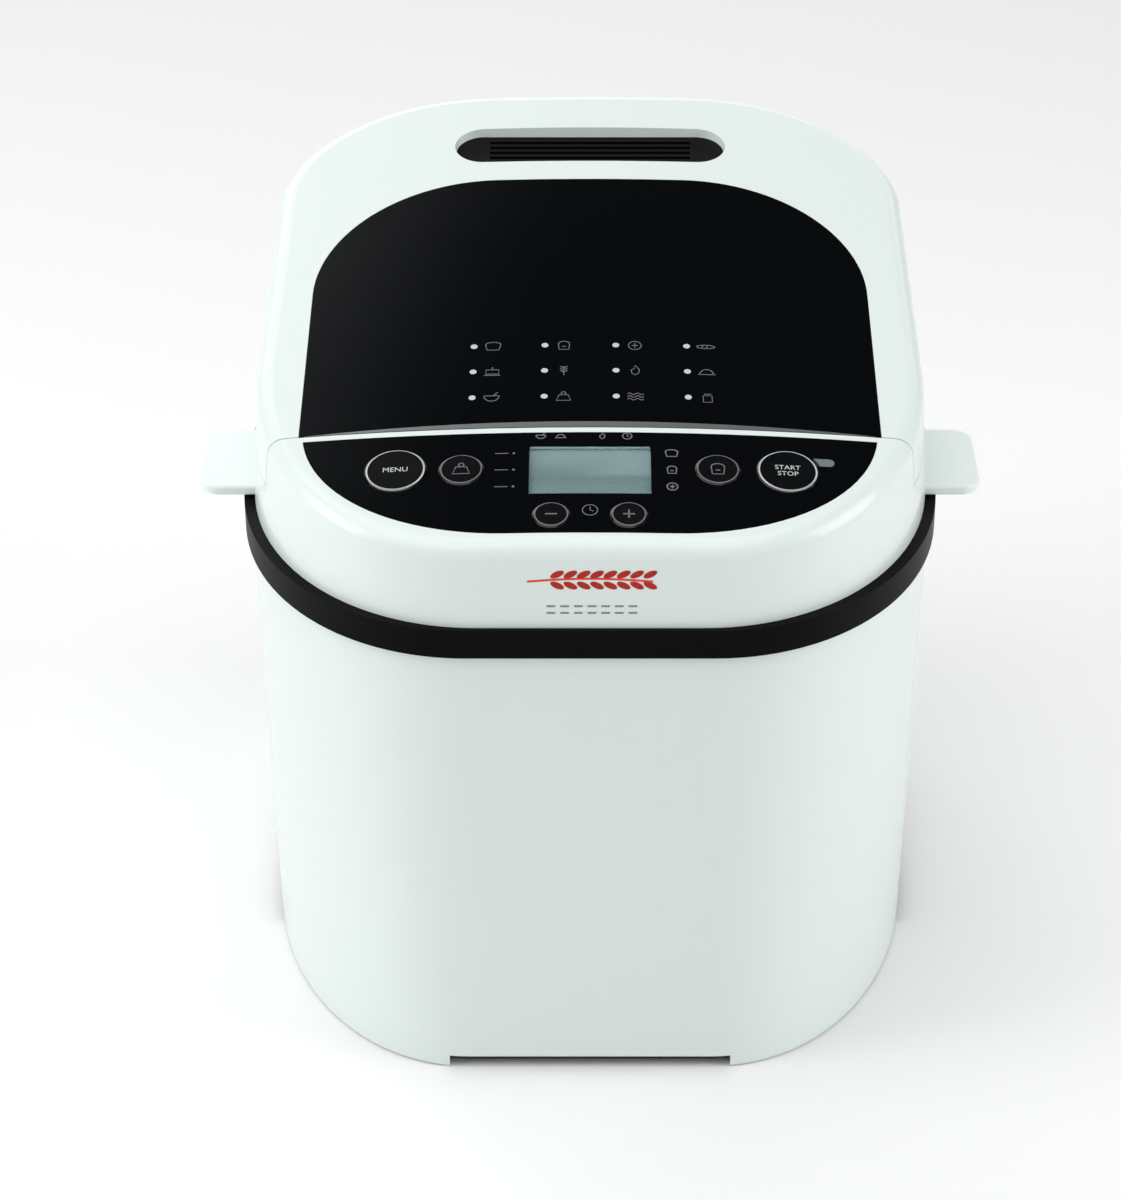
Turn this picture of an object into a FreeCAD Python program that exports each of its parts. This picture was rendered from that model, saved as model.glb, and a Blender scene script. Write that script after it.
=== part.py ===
"""Compact bread machine, built as a parametric document.

Millimetres, +Z up, front towards -Y, origin on the table under the middle of the body.
Every driving dimension is a cell of the sheet "Sizes"; outlines and features are bound to it.
"""
import FreeCAD, Part

import math
import os
import re

import Sketcher
from FreeCAD import Placement, Rotation, Vector

SIZES = [
    # outer body: half widths and depths of the plan, levels and elliptical corners
    ("band_half_width", 136), ("band_half_depth", 150), ("band_bottom", 196), ("band_top", 208),
    ("shell_half_width", 134), ("shell_half_depth", 148), ("skin_thickness", 2.5),
    ("corner_width", 90), ("corner_depth", 112), ("rear_corner_width", 86),
    ("rear_corner_depth", 72), ("foot_half_width", 132.5),
    ("foot_half_depth", 146.5), ("foot_corner_width", 84), ("foot_corner_depth", 130), ("foot_rear_depth", 90),
    ("lip_bottom", 0.6), ("body_bottom", 5.5), ("front_gap_half", 56), ("side_gap_half", 50),
    # crowned top: panel slope, easing lid slope, crown radius across the width
    ("crown_start_rise", 33.3), ("crown_start_back", 14), ("slope_change_back", 71),
    ("slope_end_back", 298), ("panel_slope", 12), ("rear_slope", 9.9), ("crown_radius", 1325),
    ("draft_height", 100), ("side_draft", 5.2), ("front_draft", 16), ("rear_draft", 2),
    ("corner_draft", 6), ("shoulder_radius", 8), ("upper_half_width", 132),
    # seam between housing and lid
    ("seam_front", -78.1), ("seam_level", 228), ("seam_gap", 0.5), ("panel_wall", 2.6),
    ("deck_level", 224), ("deck_thickness", 2.5), ("hinge_back", 145.5), ("hinge_level", 228.2),
    ("knuckle_radius", 4), ("hinge_relief", 0.8), ("rear_panel_half", 62), ("rear_panel_joint", 0.15), ("relief_half", 86), ("hinge_offset", 40), ("hinge_pin_radius", 1.5),
    # black panels
    ("fascia_thickness", 2), ("fascia_gap", 0.15), ("ledge_width", 5), ("ledge_thickness", 1.6),
    ("lid_panel_half", 110.3), ("lid_panel_rear", 79), ("lid_panel_corner_x", 72),
    ("lid_panel_corner_y", 71), ("control_half", 109), ("control_front", 135.7),
    ("control_corner_x", 78), ("control_corner_y", 62), ("trim_depth", 3), ("trim_end_half", 108),
    # display and buttons
    ("window_half", 22.7), ("window_front", -114.9), ("window_rear", -88.4),
    ("button_rise", 0.5), ("button_gap", 0.3), ("button_travel", 0.8), ("button_cap_depth", 2.5),
    ("flange_depth", 3.6), ("flange_rim", 1), ("stem_radius", 2), ("stem_depth", 8),
    ("board_depth", 13), ("board_thickness", 1.6), ("indicator_half", 6.5),
    ("indicator_radius", 2.2), ("indicator_offset", 85.1), ("indicator_front", -94.2),
    # vent in the lid
    ("vent_half", 56), ("vent_radius", 11.7), ("vent_back", 104), ("vent_bevel", 0.8),
    ("vent_depth", 4.5), ("grille_thickness", 2.5), ("slat_gap", 1.8), ("slat_pitch", 3.7),
    ("slat_half", 42),
    # side handles
    ("handle_outer", 153), ("handle_inner", 118), ("handle_front", -52), ("handle_rear", -5),
    ("handle_bottom", 209), ("handle_thickness", 4.2), ("handle_corner", 8), ("handle_round", 1.2),
    # base
    ("base_bottom", 2), ("base_thickness", 3), ("base_rim_top", 12), ("base_clearance", 0.6),
    ("base_wall", 2.5), ("foot_radius", 9), ("foot_offset_x", 88), ("foot_offset_y", 100),
    ("foot_stud_radius", 3), ("foot_stud_top", 4), ("screw_offset_x", 78), ("screw_offset_y", 98),
    ("screw_radius", 2), ("screw_head_radius", 3.6), ("screw_head_depth", 1.6),
    ("screw_length", 20), ("post_radius", 5), ("slot_width", 3), ("slot_pitch", 8),
    # chassis and drive
    ("chassis_bottom", 36), ("chassis_thickness", 2), ("chassis_half_width", 105),
    ("chassis_half_depth", 128), ("chassis_corner", 60), ("drive_back", 33),
    ("drive_teeth", 65), ("motor_teeth", 10),
    ("shaft_radius", 4), ("bush_radius", 6), ("running_fit", 0.05), ("bearing_radius", 11),
    ("bearing_bottom", 31), ("bearing_flange", 24), ("bearing_flange_top", 41),
    ("bearing_neck", 14), ("shaft_bottom", 13), ("shaft_top", 57), ("pulley_bottom", 16),
    ("pulley_height", 12), ("drive_pulley_radius", 39), ("motor_pulley_radius", 6),
    ("pulley_hub_radius", 10), ("pulley_web", 5), ("tooth_depth", 1.2), ("belt_gap", 0.4),
    ("belt_thickness", 1.6), ("belt_inset", 1), ("motor_x", 38), ("motor_y", -104),
    # motor
    ("motor_width", 70), ("motor_depth", 60), ("motor_bottom", 50), ("motor_height", 40),
    ("rotor_radius", 16), ("rotor_gap", 0.5), ("motor_shaft_radius", 3), ("bracket_plate", 3),
    ("motor_shaft_bottom", 15), ("motor_shaft_top", 108), ("fan_radius", 26), ("fan_bottom", 95),
    ("fan_height", 9), ("blade_thickness", 1.4),
    # electrical pieces
    ("capacitor_radius", 14), ("capacitor_x", 91), ("capacitor_y", -84), ("capacitor_height", 46),
    ("power_board_width", 80), ("power_board_depth", 44), ("power_board_level", 44),
    ("gland_x", 40), ("gland_level", 30), ("gland_radius", 8), ("gland_bore", 3.6),
    # oven chamber
    ("chamber_half", 95), ("chamber_front", -60), ("chamber_rear", 126), ("chamber_corner", 30),
    ("chamber_floor", 48), ("sheet_thickness", 1), ("chamber_flange", 6),
    ("element_radius", 3.4), ("element_half", 86), ("element_level", 62),
    ("element_terminal", 12), ("element_corner", 18), ("element_bend", 8), ("element_end", -72),
    ("shield_front", -67.2), ("shield_thickness", 1.2), ("shield_half", 98), ("shield_top", 200),
    # bread pan
    ("pan_half_width", 77.5), ("pan_half_depth", 62.5), ("pan_corner", 22), ("pan_bottom", 66),
    ("pan_top", 190), ("pan_wall", 1.5), ("pan_taper", 1.4), ("rim_width", 4),
    ("rim_thickness", 2), ("pan_base_radius", 33), ("pan_base_wall", 2.5),
    ("pan_base_bottom", 48.4), ("seal_radius", 8), ("coupler_radius", 12), ("coupler_split", 60.8),
    ("lug_inner", 6.5), ("lug_angle", 50), ("pan_shaft_top", 92), ("paddle_hub", 8),
    ("paddle_length", 50), ("paddle_thickness", 6), ("paddle_height", 22),
    ("pivot_level", 178), ("pivot_radius", 2.5), ("bail_half", 84.5), ("bail_arm", 72),
    ("bail_wire", 2), ("bail_corner", 14), ("bail_rest", 8), ("bail_eye", 5),
    # lid liner and seal
    ("liner_level", 229), ("liner_thickness", 1.2), ("liner_half", 112), ("liner_front", -74.98),
    ("liner_rear", 137), ("liner_corner", 25), ("liner_rear_corner_x", 55),
    ("liner_rear_corner_y", 62), ("dome_low_half", 96), ("dome_low_front", -58),
    ("dome_low_rear", 124), ("dome_top_half", 88), ("dome_top_front", -20),
    ("dome_top_rear", 113), ("dome_top", 258), ("seal_half", 103), ("seal_front", -68),
    ("seal_rear", 132), ("seal_corner", 36), ("seal_width", 5), ("seal_drop", 2),
]

BUTTONS = [
    ("menu", -72.6, -100.0, 11.7), ("weight", -48.0, -100.9, 8.5), ("crust", 47.6, -100.9, 8.5),
    ("start_stop", 73.7, -100.4, 11.7), ("minus", -14.3, -126.3, 7.0), ("plus", 14.3, -126.3, 7.0),
]

doc = FreeCAD.newDocument("bread_machine")
sheet = doc.addObject("Spreadsheet::Sheet", "Sizes")
pieces = []


# ---------------------------------------------------------------- sheet and expressions

def fill_sheet():
    """Write every size into the sheet as a plain number with its alias."""
    rows = list(SIZES)
    for name, across, along, radius in BUTTONS:
        rows += [(f"{name}_button_x", across), (f"{name}_button_y", along)]
        rows += [(f"{name}_button_radius", radius)]
    for row, (alias, value) in enumerate(rows, 1):
        sheet.set(f"A{row}", alias)
        sheet.set(f"B{row}", str(value))
        sheet.setAlias(f"B{row}", alias)
    doc.recompute()


def bound(text):
    """Point each alias in an expression at the sheet."""
    return re.sub(r"\b([a-z]+(?:_[a-z]+)+)\b", r"Sizes.\1", str(text))


def size(text):
    """The number that an expression of sheet aliases gives."""
    return float(sheet.evalExpression(str(text)))


def keep(piece):
    """Register a finished sub-part for export."""
    pieces.append(piece)
    return piece


# ---------------------------------------------------------------- sketch-based bodies

def new_body(label, x="0", y="0", z="0", frame=None):
    """A PartDesign body whose position is bound to the sheet, or set to a panel frame."""
    body = doc.addObject("PartDesign::Body", label + "_body")
    body.Label = label
    if frame:
        body.Placement = frame
        return keep(body)
    for axis, text in (("x", x), ("y", y), ("z", z)):
        body.setExpression(f"Placement.Base.{axis}", bound(text))
    return keep(body)


def new_sketch(body, role, offset="0"):
    """A sketch on one of the body's own origin planes, lifted by an offset."""
    sketch = body.newObject("Sketcher::SketchObject", body.Name + "_sketch")
    plane = [feature for feature in body.Origin.OriginFeatures if feature.Role == role][0]
    sketch.AttachmentSupport = [(plane, "")]
    sketch.MapMode = "FlatFace"
    sketch.setExpression("AttachmentOffset.Base.z", bound(offset))
    return sketch


def fix_point(sketch, geometry, end, x, y):
    """Hold one point of a sketch at bound distances from the sketch's origin."""
    for kind, text, line in (("DistanceX", x, -2), ("DistanceY", y, -1)):
        value = size(text)
        if abs(value) < 1e-9:
            sketch.addConstraint(Sketcher.Constraint("PointOnObject", geometry, end, line))
            continue
        index = sketch.addConstraint(Sketcher.Constraint(kind, -1, 1, geometry, end, value))
        sketch.setExpression(f"Constraints[{index}]", bound(text))


def polygon(sketch, corners):
    """A closed outline through corners given as pairs of expressions."""
    points = [Vector(size(x), size(y), 0) for x, y in corners]
    first = sketch.GeometryCount
    count = len(points)
    for index in range(count):
        line = Part.LineSegment(points[index], points[(index + 1) % count])
        sketch.addGeometry(line, False)
    for index in range(count):
        after = first + (index + 1) % count
        sketch.addConstraint(Sketcher.Constraint("Coincident", first + index, 2, after, 1))
    for index, (x, y) in enumerate(corners):
        fix_point(sketch, first + index, 1, x, y)


def circle(sketch, radius, x="0", y="0"):
    """A circle with a bound radius and centre."""
    centre = Vector(size(x), size(y), 0)
    index = sketch.addGeometry(Part.Circle(centre, Vector(0, 0, 1), size(radius)), False)
    fix_point(sketch, index, 3, x, y)
    rule = sketch.addConstraint(Sketcher.Constraint("Radius", index, size(radius)))
    sketch.setExpression(f"Constraints[{rule}]", bound(radius))


def rounded_rectangle(sketch, left, right, low, high, radius):
    """A rectangle with rounded corners between bound edges."""
    x0, x1, y0, y1, r = size(left), size(right), size(low), size(high), size(radius)
    first = sketch.GeometryCount
    ends = [((x0 + r, y0), (x1 - r, y0)), ((x1, y0 + r), (x1, y1 - r)),
            ((x1 - r, y1), (x0 + r, y1)), ((x0, y1 - r), (x0, y0 + r))]
    for start, stop in ends:
        sketch.addGeometry(Part.LineSegment(Vector(*start, 0), Vector(*stop, 0)), False)
    centres = [(x1 - r, y0 + r), (x1 - r, y1 - r), (x0 + r, y1 - r), (x0 + r, y0 + r)]
    for quarter, centre in enumerate(centres):
        arc = Part.Circle(Vector(*centre, 0), Vector(0, 0, 1), r)
        start = math.radians(90 * quarter - 90)
        sketch.addGeometry(Part.ArcOfCircle(arc, start, start + math.pi / 2), False)
    for side in range(4):
        arc = first + 4 + side
        sketch.addConstraint(Sketcher.Constraint("Tangent", first + side, 2, arc, 1))
        sketch.addConstraint(Sketcher.Constraint("Tangent", arc, 2, first + (side + 1) % 4, 1))
    for side, kind in enumerate(("Horizontal", "Vertical", "Horizontal", "Vertical")):
        sketch.addConstraint(Sketcher.Constraint(kind, first + side))
    for side in range(1, 4):
        sketch.addConstraint(Sketcher.Constraint("Equal", first + 4, first + 4 + side))
    limits = [("Radius", (first + 4,), radius), ("DistanceY", (-1, 1, first, 1), low),
              ("DistanceX", (-1, 1, first + 1, 1), right),
              ("DistanceY", (-1, 1, first + 2, 1), high),
              ("DistanceX", (-1, 1, first + 3, 1), left)]
    for kind, where, text in limits:
        rule = sketch.addConstraint(Sketcher.Constraint(kind, *where, size(text)))
        sketch.setExpression(f"Constraints[{rule}]", bound(text))


def pad(body, sketch, length, taper=None, down=False):
    """Add material along the sketch's normal."""
    feature = body.newObject("PartDesign::Pad", body.Name + "_pad")
    feature.Profile = sketch
    feature.setExpression("Length", bound(length))
    feature.Reversed = down
    if taper:
        feature.setExpression("TaperAngle", bound(taper))
    return feature


def pocket(body, sketch, length, taper=None, up=False):
    """Remove material against the sketch's normal, or along it."""
    feature = body.newObject("PartDesign::Pocket", body.Name + "_pocket")
    feature.Profile = sketch
    feature.setExpression("Length", bound(length))
    feature.Reversed = up
    if taper:
        feature.setExpression("TaperAngle", bound(taper))
    return feature


def revolve(body, corners):
    """Turn a half section, radius and height, round the body's Z axis."""
    sketch = new_sketch(body, "XZ_Plane")
    polygon(sketch, corners)
    feature = body.newObject("PartDesign::Revolution", body.Name + "_turn")
    feature.Profile = sketch
    feature.ReferenceAxis = (sketch, ["V_Axis"])
    feature.Angle = 360
    return feature


def polar(body, feature, count):
    """Repeat a feature round the body's Z axis."""
    pattern = body.newObject("PartDesign::PolarPattern", body.Name + "_polar")
    pattern.Originals = [feature]
    axis = [item for item in body.Origin.OriginFeatures if item.Role == "Z_Axis"][0]
    pattern.Axis = (axis, [""])
    pattern.Angle = 360
    pattern.Occurrences = count
    body.Tip = pattern
    return pattern


# ---------------------------------------------------------------- primitives and booleans

def box(x0, x1, y0, y1, z0, z1):
    """A box between bound faces."""
    item = doc.addObject("Part::Box", "block")
    for side, low, high in (("Length", x0, x1), ("Width", y0, y1), ("Height", z0, z1)):
        item.setExpression(side, bound(f"({high}) - ({low})"))
    for axis, low in (("x", x0), ("y", y0), ("z", z0)):
        item.setExpression(f"Placement.Base.{axis}", bound(low))
    return item


def cylinder(radius, height, x, y, z, direction=Vector(0, 0, 1)):
    """A cylinder from a bound point along a direction."""
    item = doc.addObject("Part::Cylinder", "rod")
    item.setExpression("Radius", bound(radius))
    item.setExpression("Height", bound(height))
    item.Placement.Rotation = Rotation(Vector(0, 0, 1), direction)
    for axis, text in (("x", x), ("y", y), ("z", z)):
        item.setExpression(f"Placement.Base.{axis}", bound(text))
    return item


def fuse(items):
    """One shape from several, kept as separate solids where they do not touch."""
    item = doc.addObject("Part::MultiFuse", "joined")
    item.Shapes = items
    return item


def cut(base, tools):
    """A base with tools taken away."""
    item = doc.addObject("Part::Cut", "pierced")
    item.Base = base
    item.Tool = tools[0] if len(tools) == 1 else fuse(tools)
    return item


def named(item, label):
    """Name a finished boolean or primitive and register it."""
    item.Label = label
    return keep(item)


def shaped(label, shape, placement=None):
    """A sub-part whose form has no sketch or primitive, worked out from the sheet."""
    item = doc.addObject("Part::Feature", label + "_form")
    item.Shape = shape
    item.Label = label
    item.Placement = placement or shape.Placement
    return keep(item)


# ---------------------------------------------------------------- curved outer form

def elliptical_corner(x, y, radius_x, radius_y, quarter, z):
    """A quarter ellipse, or a quarter circle, round a corner centre."""
    centre = Vector(x, y, z)
    along, across = Vector(radius_x, 0, 0), Vector(0, radius_y, 0)
    start = math.radians(90 * quarter - 90)
    if abs(radius_x - radius_y) < 1e-6:
        round_line = Part.Circle(centre, Vector(0, 0, 1), radius_x)
        return Part.ArcOfCircle(round_line, start, start + math.pi / 2).toShape()
    if radius_y > radius_x:
        ellipse = Part.Ellipse(centre + across, centre - along, centre)
        start -= math.pi / 2
    else:
        ellipse = Part.Ellipse(centre + along, centre + across, centre)
    return Part.ArcOfEllipse(ellipse, start, start + math.pi / 2).toShape()


def plan(half, front, rear, corner_x, corner_front, corner_rear, z, rear_x=None):
    """A rectangle with elliptical corners at level z; front and rear are distances."""
    rear_x = rear_x or corner_x
    x0, x1 = half - corner_x, half - rear_x
    y0, y1 = corner_front - front, rear - corner_rear

    def side(x_from, y_from, x_to, y_to):
        return Part.LineSegment(Vector(x_from, y_from, z), Vector(x_to, y_to, z)).toShape()

    return Part.Wire([
        side(-x0, -front, x0, -front), elliptical_corner(x0, y0, corner_x, corner_front, 0, z),
        side(half, y0, half, y1), elliptical_corner(x1, y1, rear_x, corner_rear, 1, z),
        side(x1, rear, -x1, rear), elliptical_corner(-x1, y1, rear_x, corner_rear, 2, z),
        side(-half, y1, -half, y0), elliptical_corner(-x0, y0, corner_x, corner_front, 3, z)])


def shell_plan(half, depth, inset, z):
    """Plan of the body at a level: fuller corners at the rear than at the front."""
    return plan(half - inset, depth - inset, depth - inset, size("corner_width") - inset,
                size("corner_depth") - inset, size("rear_corner_depth") - inset, z,
                size("rear_corner_width") - inset)


def foot_plan(inset, z):
    """Plan of the body at the table."""
    half, depth = size("foot_half_width") - inset, size("foot_half_depth") - inset
    return plan(half, depth, depth, size("foot_corner_width") - inset,
                size("foot_corner_depth") - inset, size("foot_rear_depth") - inset, z)


def prism(wire, height):
    """A solid straight up from a flat wire."""
    return Part.Face(wire).extrude(Vector(0, 0, height))


def block(x0, x1, y0, y1, z0, z1):
    """A plain box shape between two corners."""
    return Part.makeBox(x1 - x0, y1 - y0, z1 - z0, Vector(x0, y0, z0))


def rod(radius, length, x, y, z, direction=Vector(0, 0, 1)):
    """A plain cylinder shape."""
    return Part.makeCylinder(radius, length, Vector(x, y, z), direction)


def top_height(x, y):
    """Level of the crowned top above a plan point."""
    start, change, end = size("crown_start_back"), size("slope_change_back"), size("slope_end_back")
    steep = math.tan(math.radians(size("panel_slope")))
    gentle = math.tan(math.radians(size("rear_slope")))
    back = y + size("band_half_depth")
    rise = size("crown_start_rise") + steep * (back - start)
    if back > change:
        rise += (gentle - steep) * (back - change) ** 2 / (2 * (end - change))
    return size("band_top") + rise - x * x / (2 * size("crown_radius"))


def crown_face(drop):
    """The crowned top surface, lowered by a drop and wider than the body."""
    half, reach = 150, 165
    grid = [[Vector(x, y, top_height(x, y) - drop)
             for y in [-reach + 2 * reach * step / 16 for step in range(17)]]
            for x in [-half + 2 * half * step / 8 for step in range(9)]]
    surface = Part.BSplineSurface()
    surface.interpolate(grid)
    return surface.toShape()


def crown_layer(top_drop, bottom_drop):
    """A layer that follows the crowned top between two depths."""
    return crown_face(top_drop).extrude(Vector(0, 0, top_drop - bottom_drop))


def upper_form(inset, shoulder):
    """Solid form of the housing top and lid together, set in by a wall thickness."""
    half, depth = size("upper_half_width") - inset, size("shell_half_depth") - inset
    across, along = size("corner_width") - inset, size("corner_depth") - inset
    rear_across, rear_along = size("rear_corner_width") - inset - 2, size("rear_corner_depth") - inset - 2
    low, high = size("band_top"), size("draft_height")
    change = size("corner_draft")
    base = plan(half, depth, depth, across, along, rear_along, low, rear_across)
    tip = plan(half - size("side_draft"), depth - size("front_draft"), depth - size("rear_draft"),
               across - change, along - change, rear_along, low + high, rear_across)
    form = Part.makeLoft([base, tip], True, True)
    form = form.common(crown_face(inset).extrude(Vector(0, 0, -150))).Solids[0]
    rim = []
    for edge in form.Edges:
        middle = edge.valueAt((edge.FirstParameter + edge.LastParameter) / 2)
        if abs(middle.z - top_height(middle.x, middle.y) + inset) < 0.3:
            rim.append(edge)
    return form.makeFillet(shoulder, rim).Solids[0]


def panel_frame(x, y):
    """A frame on the crowned top at a plan point, its Z along the surface normal."""
    step = 0.5
    slope_x = (top_height(x + step, y) - top_height(x - step, y)) / (2 * step)
    slope_y = (top_height(x, y + step) - top_height(x, y - step)) / (2 * step)
    normal = Vector(-slope_x, -slope_y, 1).normalize()
    return Placement(Vector(x, y, top_height(x, y)), Rotation(Vector(0, 0, 1), normal))


def stadium(half, radius, z):
    """A slot outline: two straight runs and two half rounds, centred on the origin."""
    run = half - radius
    right = Part.Circle(Vector(run, 0, z), Vector(0, 0, 1), radius)
    left = Part.Circle(Vector(-run, 0, z), Vector(0, 0, 1), radius)
    quarter = math.pi / 2
    return Part.Wire([
        Part.LineSegment(Vector(-run, -radius, z), Vector(run, -radius, z)).toShape(),
        Part.ArcOfCircle(right, -quarter, quarter).toShape(),
        Part.LineSegment(Vector(run, radius, z), Vector(-run, radius, z)).toShape(),
        Part.ArcOfCircle(left, quarter, 3 * quarter).toShape()])


def lid_panel_outline(inset):
    """Plan of the lid's black panel, open towards the front."""
    return plan(size("lid_panel_half") - inset, 160, size("lid_panel_rear") - inset,
                size("lid_panel_corner_x") - inset, size("lid_panel_corner_y") - inset,
                size("lid_panel_corner_y") - inset, size("band_top"))


def control_outline(inset):
    """Plan of the control panel, open towards the rear."""
    return plan(size("control_half") - inset, size("control_front") - inset, 160,
                size("control_corner_x") - inset, size("control_corner_y") - inset,
                size("control_corner_y") - inset, size("band_top"))


def trim_arc_solid():
    """Everything in front of the arc where the silver trim meets the lid panel."""
    half, depth = size("trim_end_half"), size("trim_depth")
    front = size("seam_front + seam_gap")
    radius = (half * half + depth * depth) / (2 * depth)
    return rod(radius, 150, 0, front + depth - radius, size("band_top"))


def hinge_places():
    """Middles of the two hinges along the rear edge."""
    return (-size("hinge_offset"), size("hinge_offset"))


def hinge_rod(radius, x0, x1):
    """A rod round the hinge axis between two places along it."""
    return rod(radius, x1 - x0, x0, size("hinge_back"), size("hinge_level"), Vector(1, 0, 0))


# ---------------------------------------------------------------- outer body pieces

def make_lower_shell():
    """White lower shell with corner lips, open at the rear for its panel."""
    def loft(inset):
        top = shell_plan(size("shell_half_width"), size("shell_half_depth"), inset, size("band_bottom"))
        return Part.makeLoft([foot_plan(inset, size("lip_bottom")), top], True, True)

    shell = loft(0).cut(loft(size("skin_thickness")))
    bottom, top = size("body_bottom"), size("band_bottom")
    front, side = size("front_gap_half"), size("side_gap_half")
    shell = shell.cut(block(-front, front, -160, 160, -5, bottom))
    shell = shell.cut(block(-160, 160, -side, side, -5, bottom))
    half, joint = size("rear_panel_half"), size("rear_panel_joint")
    shaped("lower_shell", shell.cut(block(-half - joint, half + joint, 100, 160, -5, top + 5)))
    make_rear_panel(shell.common(block(-half, half, 100, 160, bottom, top)))


def make_rear_panel(panel):
    """White rear panel with louvres and the cord opening."""
    slot = size("slot_width")
    for column in range(-4, 5):
        middle = column * size("slot_pitch")
        panel = panel.cut(block(middle - slot / 2, middle + slot / 2, 135, 160, 120, 165))
    gland = rod(size("gland_radius"), 30, size("gland_x"), 130, size("gland_level"), Vector(0, 1, 0))
    shaped("rear_panel", panel.cut(gland))


def make_black_band():
    """Proud black band between the shells."""
    step = size("band_half_width - shell_half_width")
    inset = step + size("skin_thickness") + 1.5

    def ring(inset_by):
        outline = shell_plan(size("band_half_width"), size("band_half_depth"), inset_by, size("band_bottom"))
        return prism(outline, size("band_top - band_bottom"))

    shaped("black_band", ring(0).cut(ring(inset)))


def make_upper_housing(form, core):
    """White upper housing: outer wall, control panel seat, panel wall and oven deck."""
    seam, level = size("seam_front"), size("seam_level")
    wall, deck = size("panel_wall"), size("deck_level")
    housing = form.cut(core)
    housing = housing.cut(block(-160, 160, seam, 160, level, 320))
    housing = housing.fuse(form.common(block(-160, 160, seam - wall, seam, deck, 320)))
    floor = core.common(block(-160, 160, seam, 160, deck, deck + size("deck_thickness")))
    opening = plan(size("chamber_half"), -size("chamber_front"), size("chamber_rear"),
                   size("chamber_corner"), size("chamber_corner"), size("chamber_corner"), deck - 1)
    housing = housing.fuse(floor.cut(prism(opening, 5)))
    seat = block(-160, 160, -160, seam - wall, 200, 320)
    housing = housing.cut(prism(control_outline(0), 100).common(seat))
    ledge = crown_layer(size("fascia_thickness"), size("fascia_thickness + ledge_thickness"))
    ledge = ledge.common(prism(control_outline(-2), 100)).cut(prism(control_outline(size("ledge_width")), 100))
    housing = housing.fuse(ledge.common(seat).common(form))
    for name, _, _, _ in BUTTONS:
        clear = rod(size(f"{name}_button_radius + flange_rim + button_gap"), 14, 0, 0, -12)
        clear.Placement = panel_frame(size(f"{name}_button_x"), size(f"{name}_button_y"))
        housing = housing.cut(clear)
    relief = hinge_rod(size("knuckle_radius + hinge_relief"), -size("relief_half"), size("relief_half"))
    housing = housing.cut(relief.common(block(-160, 160, size("hinge_back") - 0.7, 160, 200, 320)))
    for middle in hinge_places():
        housing = housing.cut(hinge_rod(size("knuckle_radius") + 0.6, middle - 6, middle + 6))
        for low, high in ((middle - 12, middle - 6), (middle + 6, middle + 12)):
            housing = housing.fuse(hinge_rod(size("knuckle_radius"), low, high))
            web = block(low, high, 142, size("hinge_back"), deck - 8, size("hinge_level"))
            housing = housing.fuse(web)
        housing = housing.cut(hinge_rod(size("hinge_pin_radius"), middle - 12, middle + 12))
    tongue = handle_envelope()
    housing = housing.cut(tongue).cut(tongue.mirror(Vector(0, 0, 0), Vector(1, 0, 0)))
    shaped("upper_housing", housing.removeSplitter())


def handle_envelope():
    """The straight tongue of the right side handle, as a plain block."""
    bottom = size("handle_bottom")
    return block(size("handle_inner"), 140, size("handle_front"), size("handle_rear"),
                 bottom, bottom + size("handle_thickness"))


def make_side_handle(label, left, right):
    """A flat tab with rounded corners and edges that passes through the housing wall."""
    body = new_body(label, z="handle_bottom")
    sketch = new_sketch(body, "XY_Plane")
    rounded_rectangle(sketch, left, right, "handle_front", "handle_rear", "handle_corner")
    tab = pad(body, sketch, "handle_thickness")
    doc.recompute()
    edges = []
    for number, edge in enumerate(tab.Shape.Edges, 1):
        ends = [vertex.Point.z for vertex in edge.Vertexes]
        if abs(ends[0] - ends[-1]) < 1e-6:
            edges.append(f"Edge{number}")
    fillet = body.newObject("PartDesign::Fillet", label + "_round")
    fillet.Base = (tab, edges)
    fillet.setExpression("Radius", bound("handle_round"))


def make_control_fascia():
    """Glossy black control panel with a window, button holes and a light slot."""
    gap = size("fascia_gap")
    seam, wall = size("seam_front"), size("panel_wall")
    fascia = crown_layer(0, size("fascia_thickness")).common(prism(control_outline(gap), 100))
    fascia = fascia.common(block(-160, 160, -160, seam - wall - gap, 200, 320))
    frame = panel_frame(0, size("(window_front + window_rear) / 2"))
    half, deep = size("window_half"), size("(window_rear - window_front) / 2")
    window = block(-half, half, -deep, deep, -6, 6)
    window.Placement = frame
    fascia = fascia.cut(window)
    for name, _, _, _ in BUTTONS:
        x, y = size(f"{name}_button_x"), size(f"{name}_button_y")
        hole = rod(size(f"{name}_button_radius + button_gap"), 14, 0, 0, -7)
        hole.Placement = panel_frame(x, y)
        fascia = fascia.cut(hole)
    light = prism(stadium(size("indicator_half"), size("indicator_radius"), -7), 14)
    light.Placement = panel_frame(size("indicator_offset"), size("indicator_front"))
    shaped("control_fascia", fascia.cut(light))


def make_display():
    """Clear lens in the window, the display module behind it."""
    frame = panel_frame(0, size("(window_front + window_rear) / 2"))
    half, deep = size("window_half") - 0.1, size("(window_rear - window_front) / 2") - 0.1
    lens = block(-half, half, -deep, deep, -2.3, -0.25)
    lens = lens.fuse(block(-half - 2, half + 2, -deep - 2, deep + 2, -3.1, -2.3)).removeSplitter()
    lens.Placement = frame
    shaped("display_lens", lens)
    module = block(-half - 3, half + 3, -deep - 3, deep + 3, -size("board_depth"), -3.1)
    module.Placement = frame
    shaped("lcd_module", module)


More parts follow.
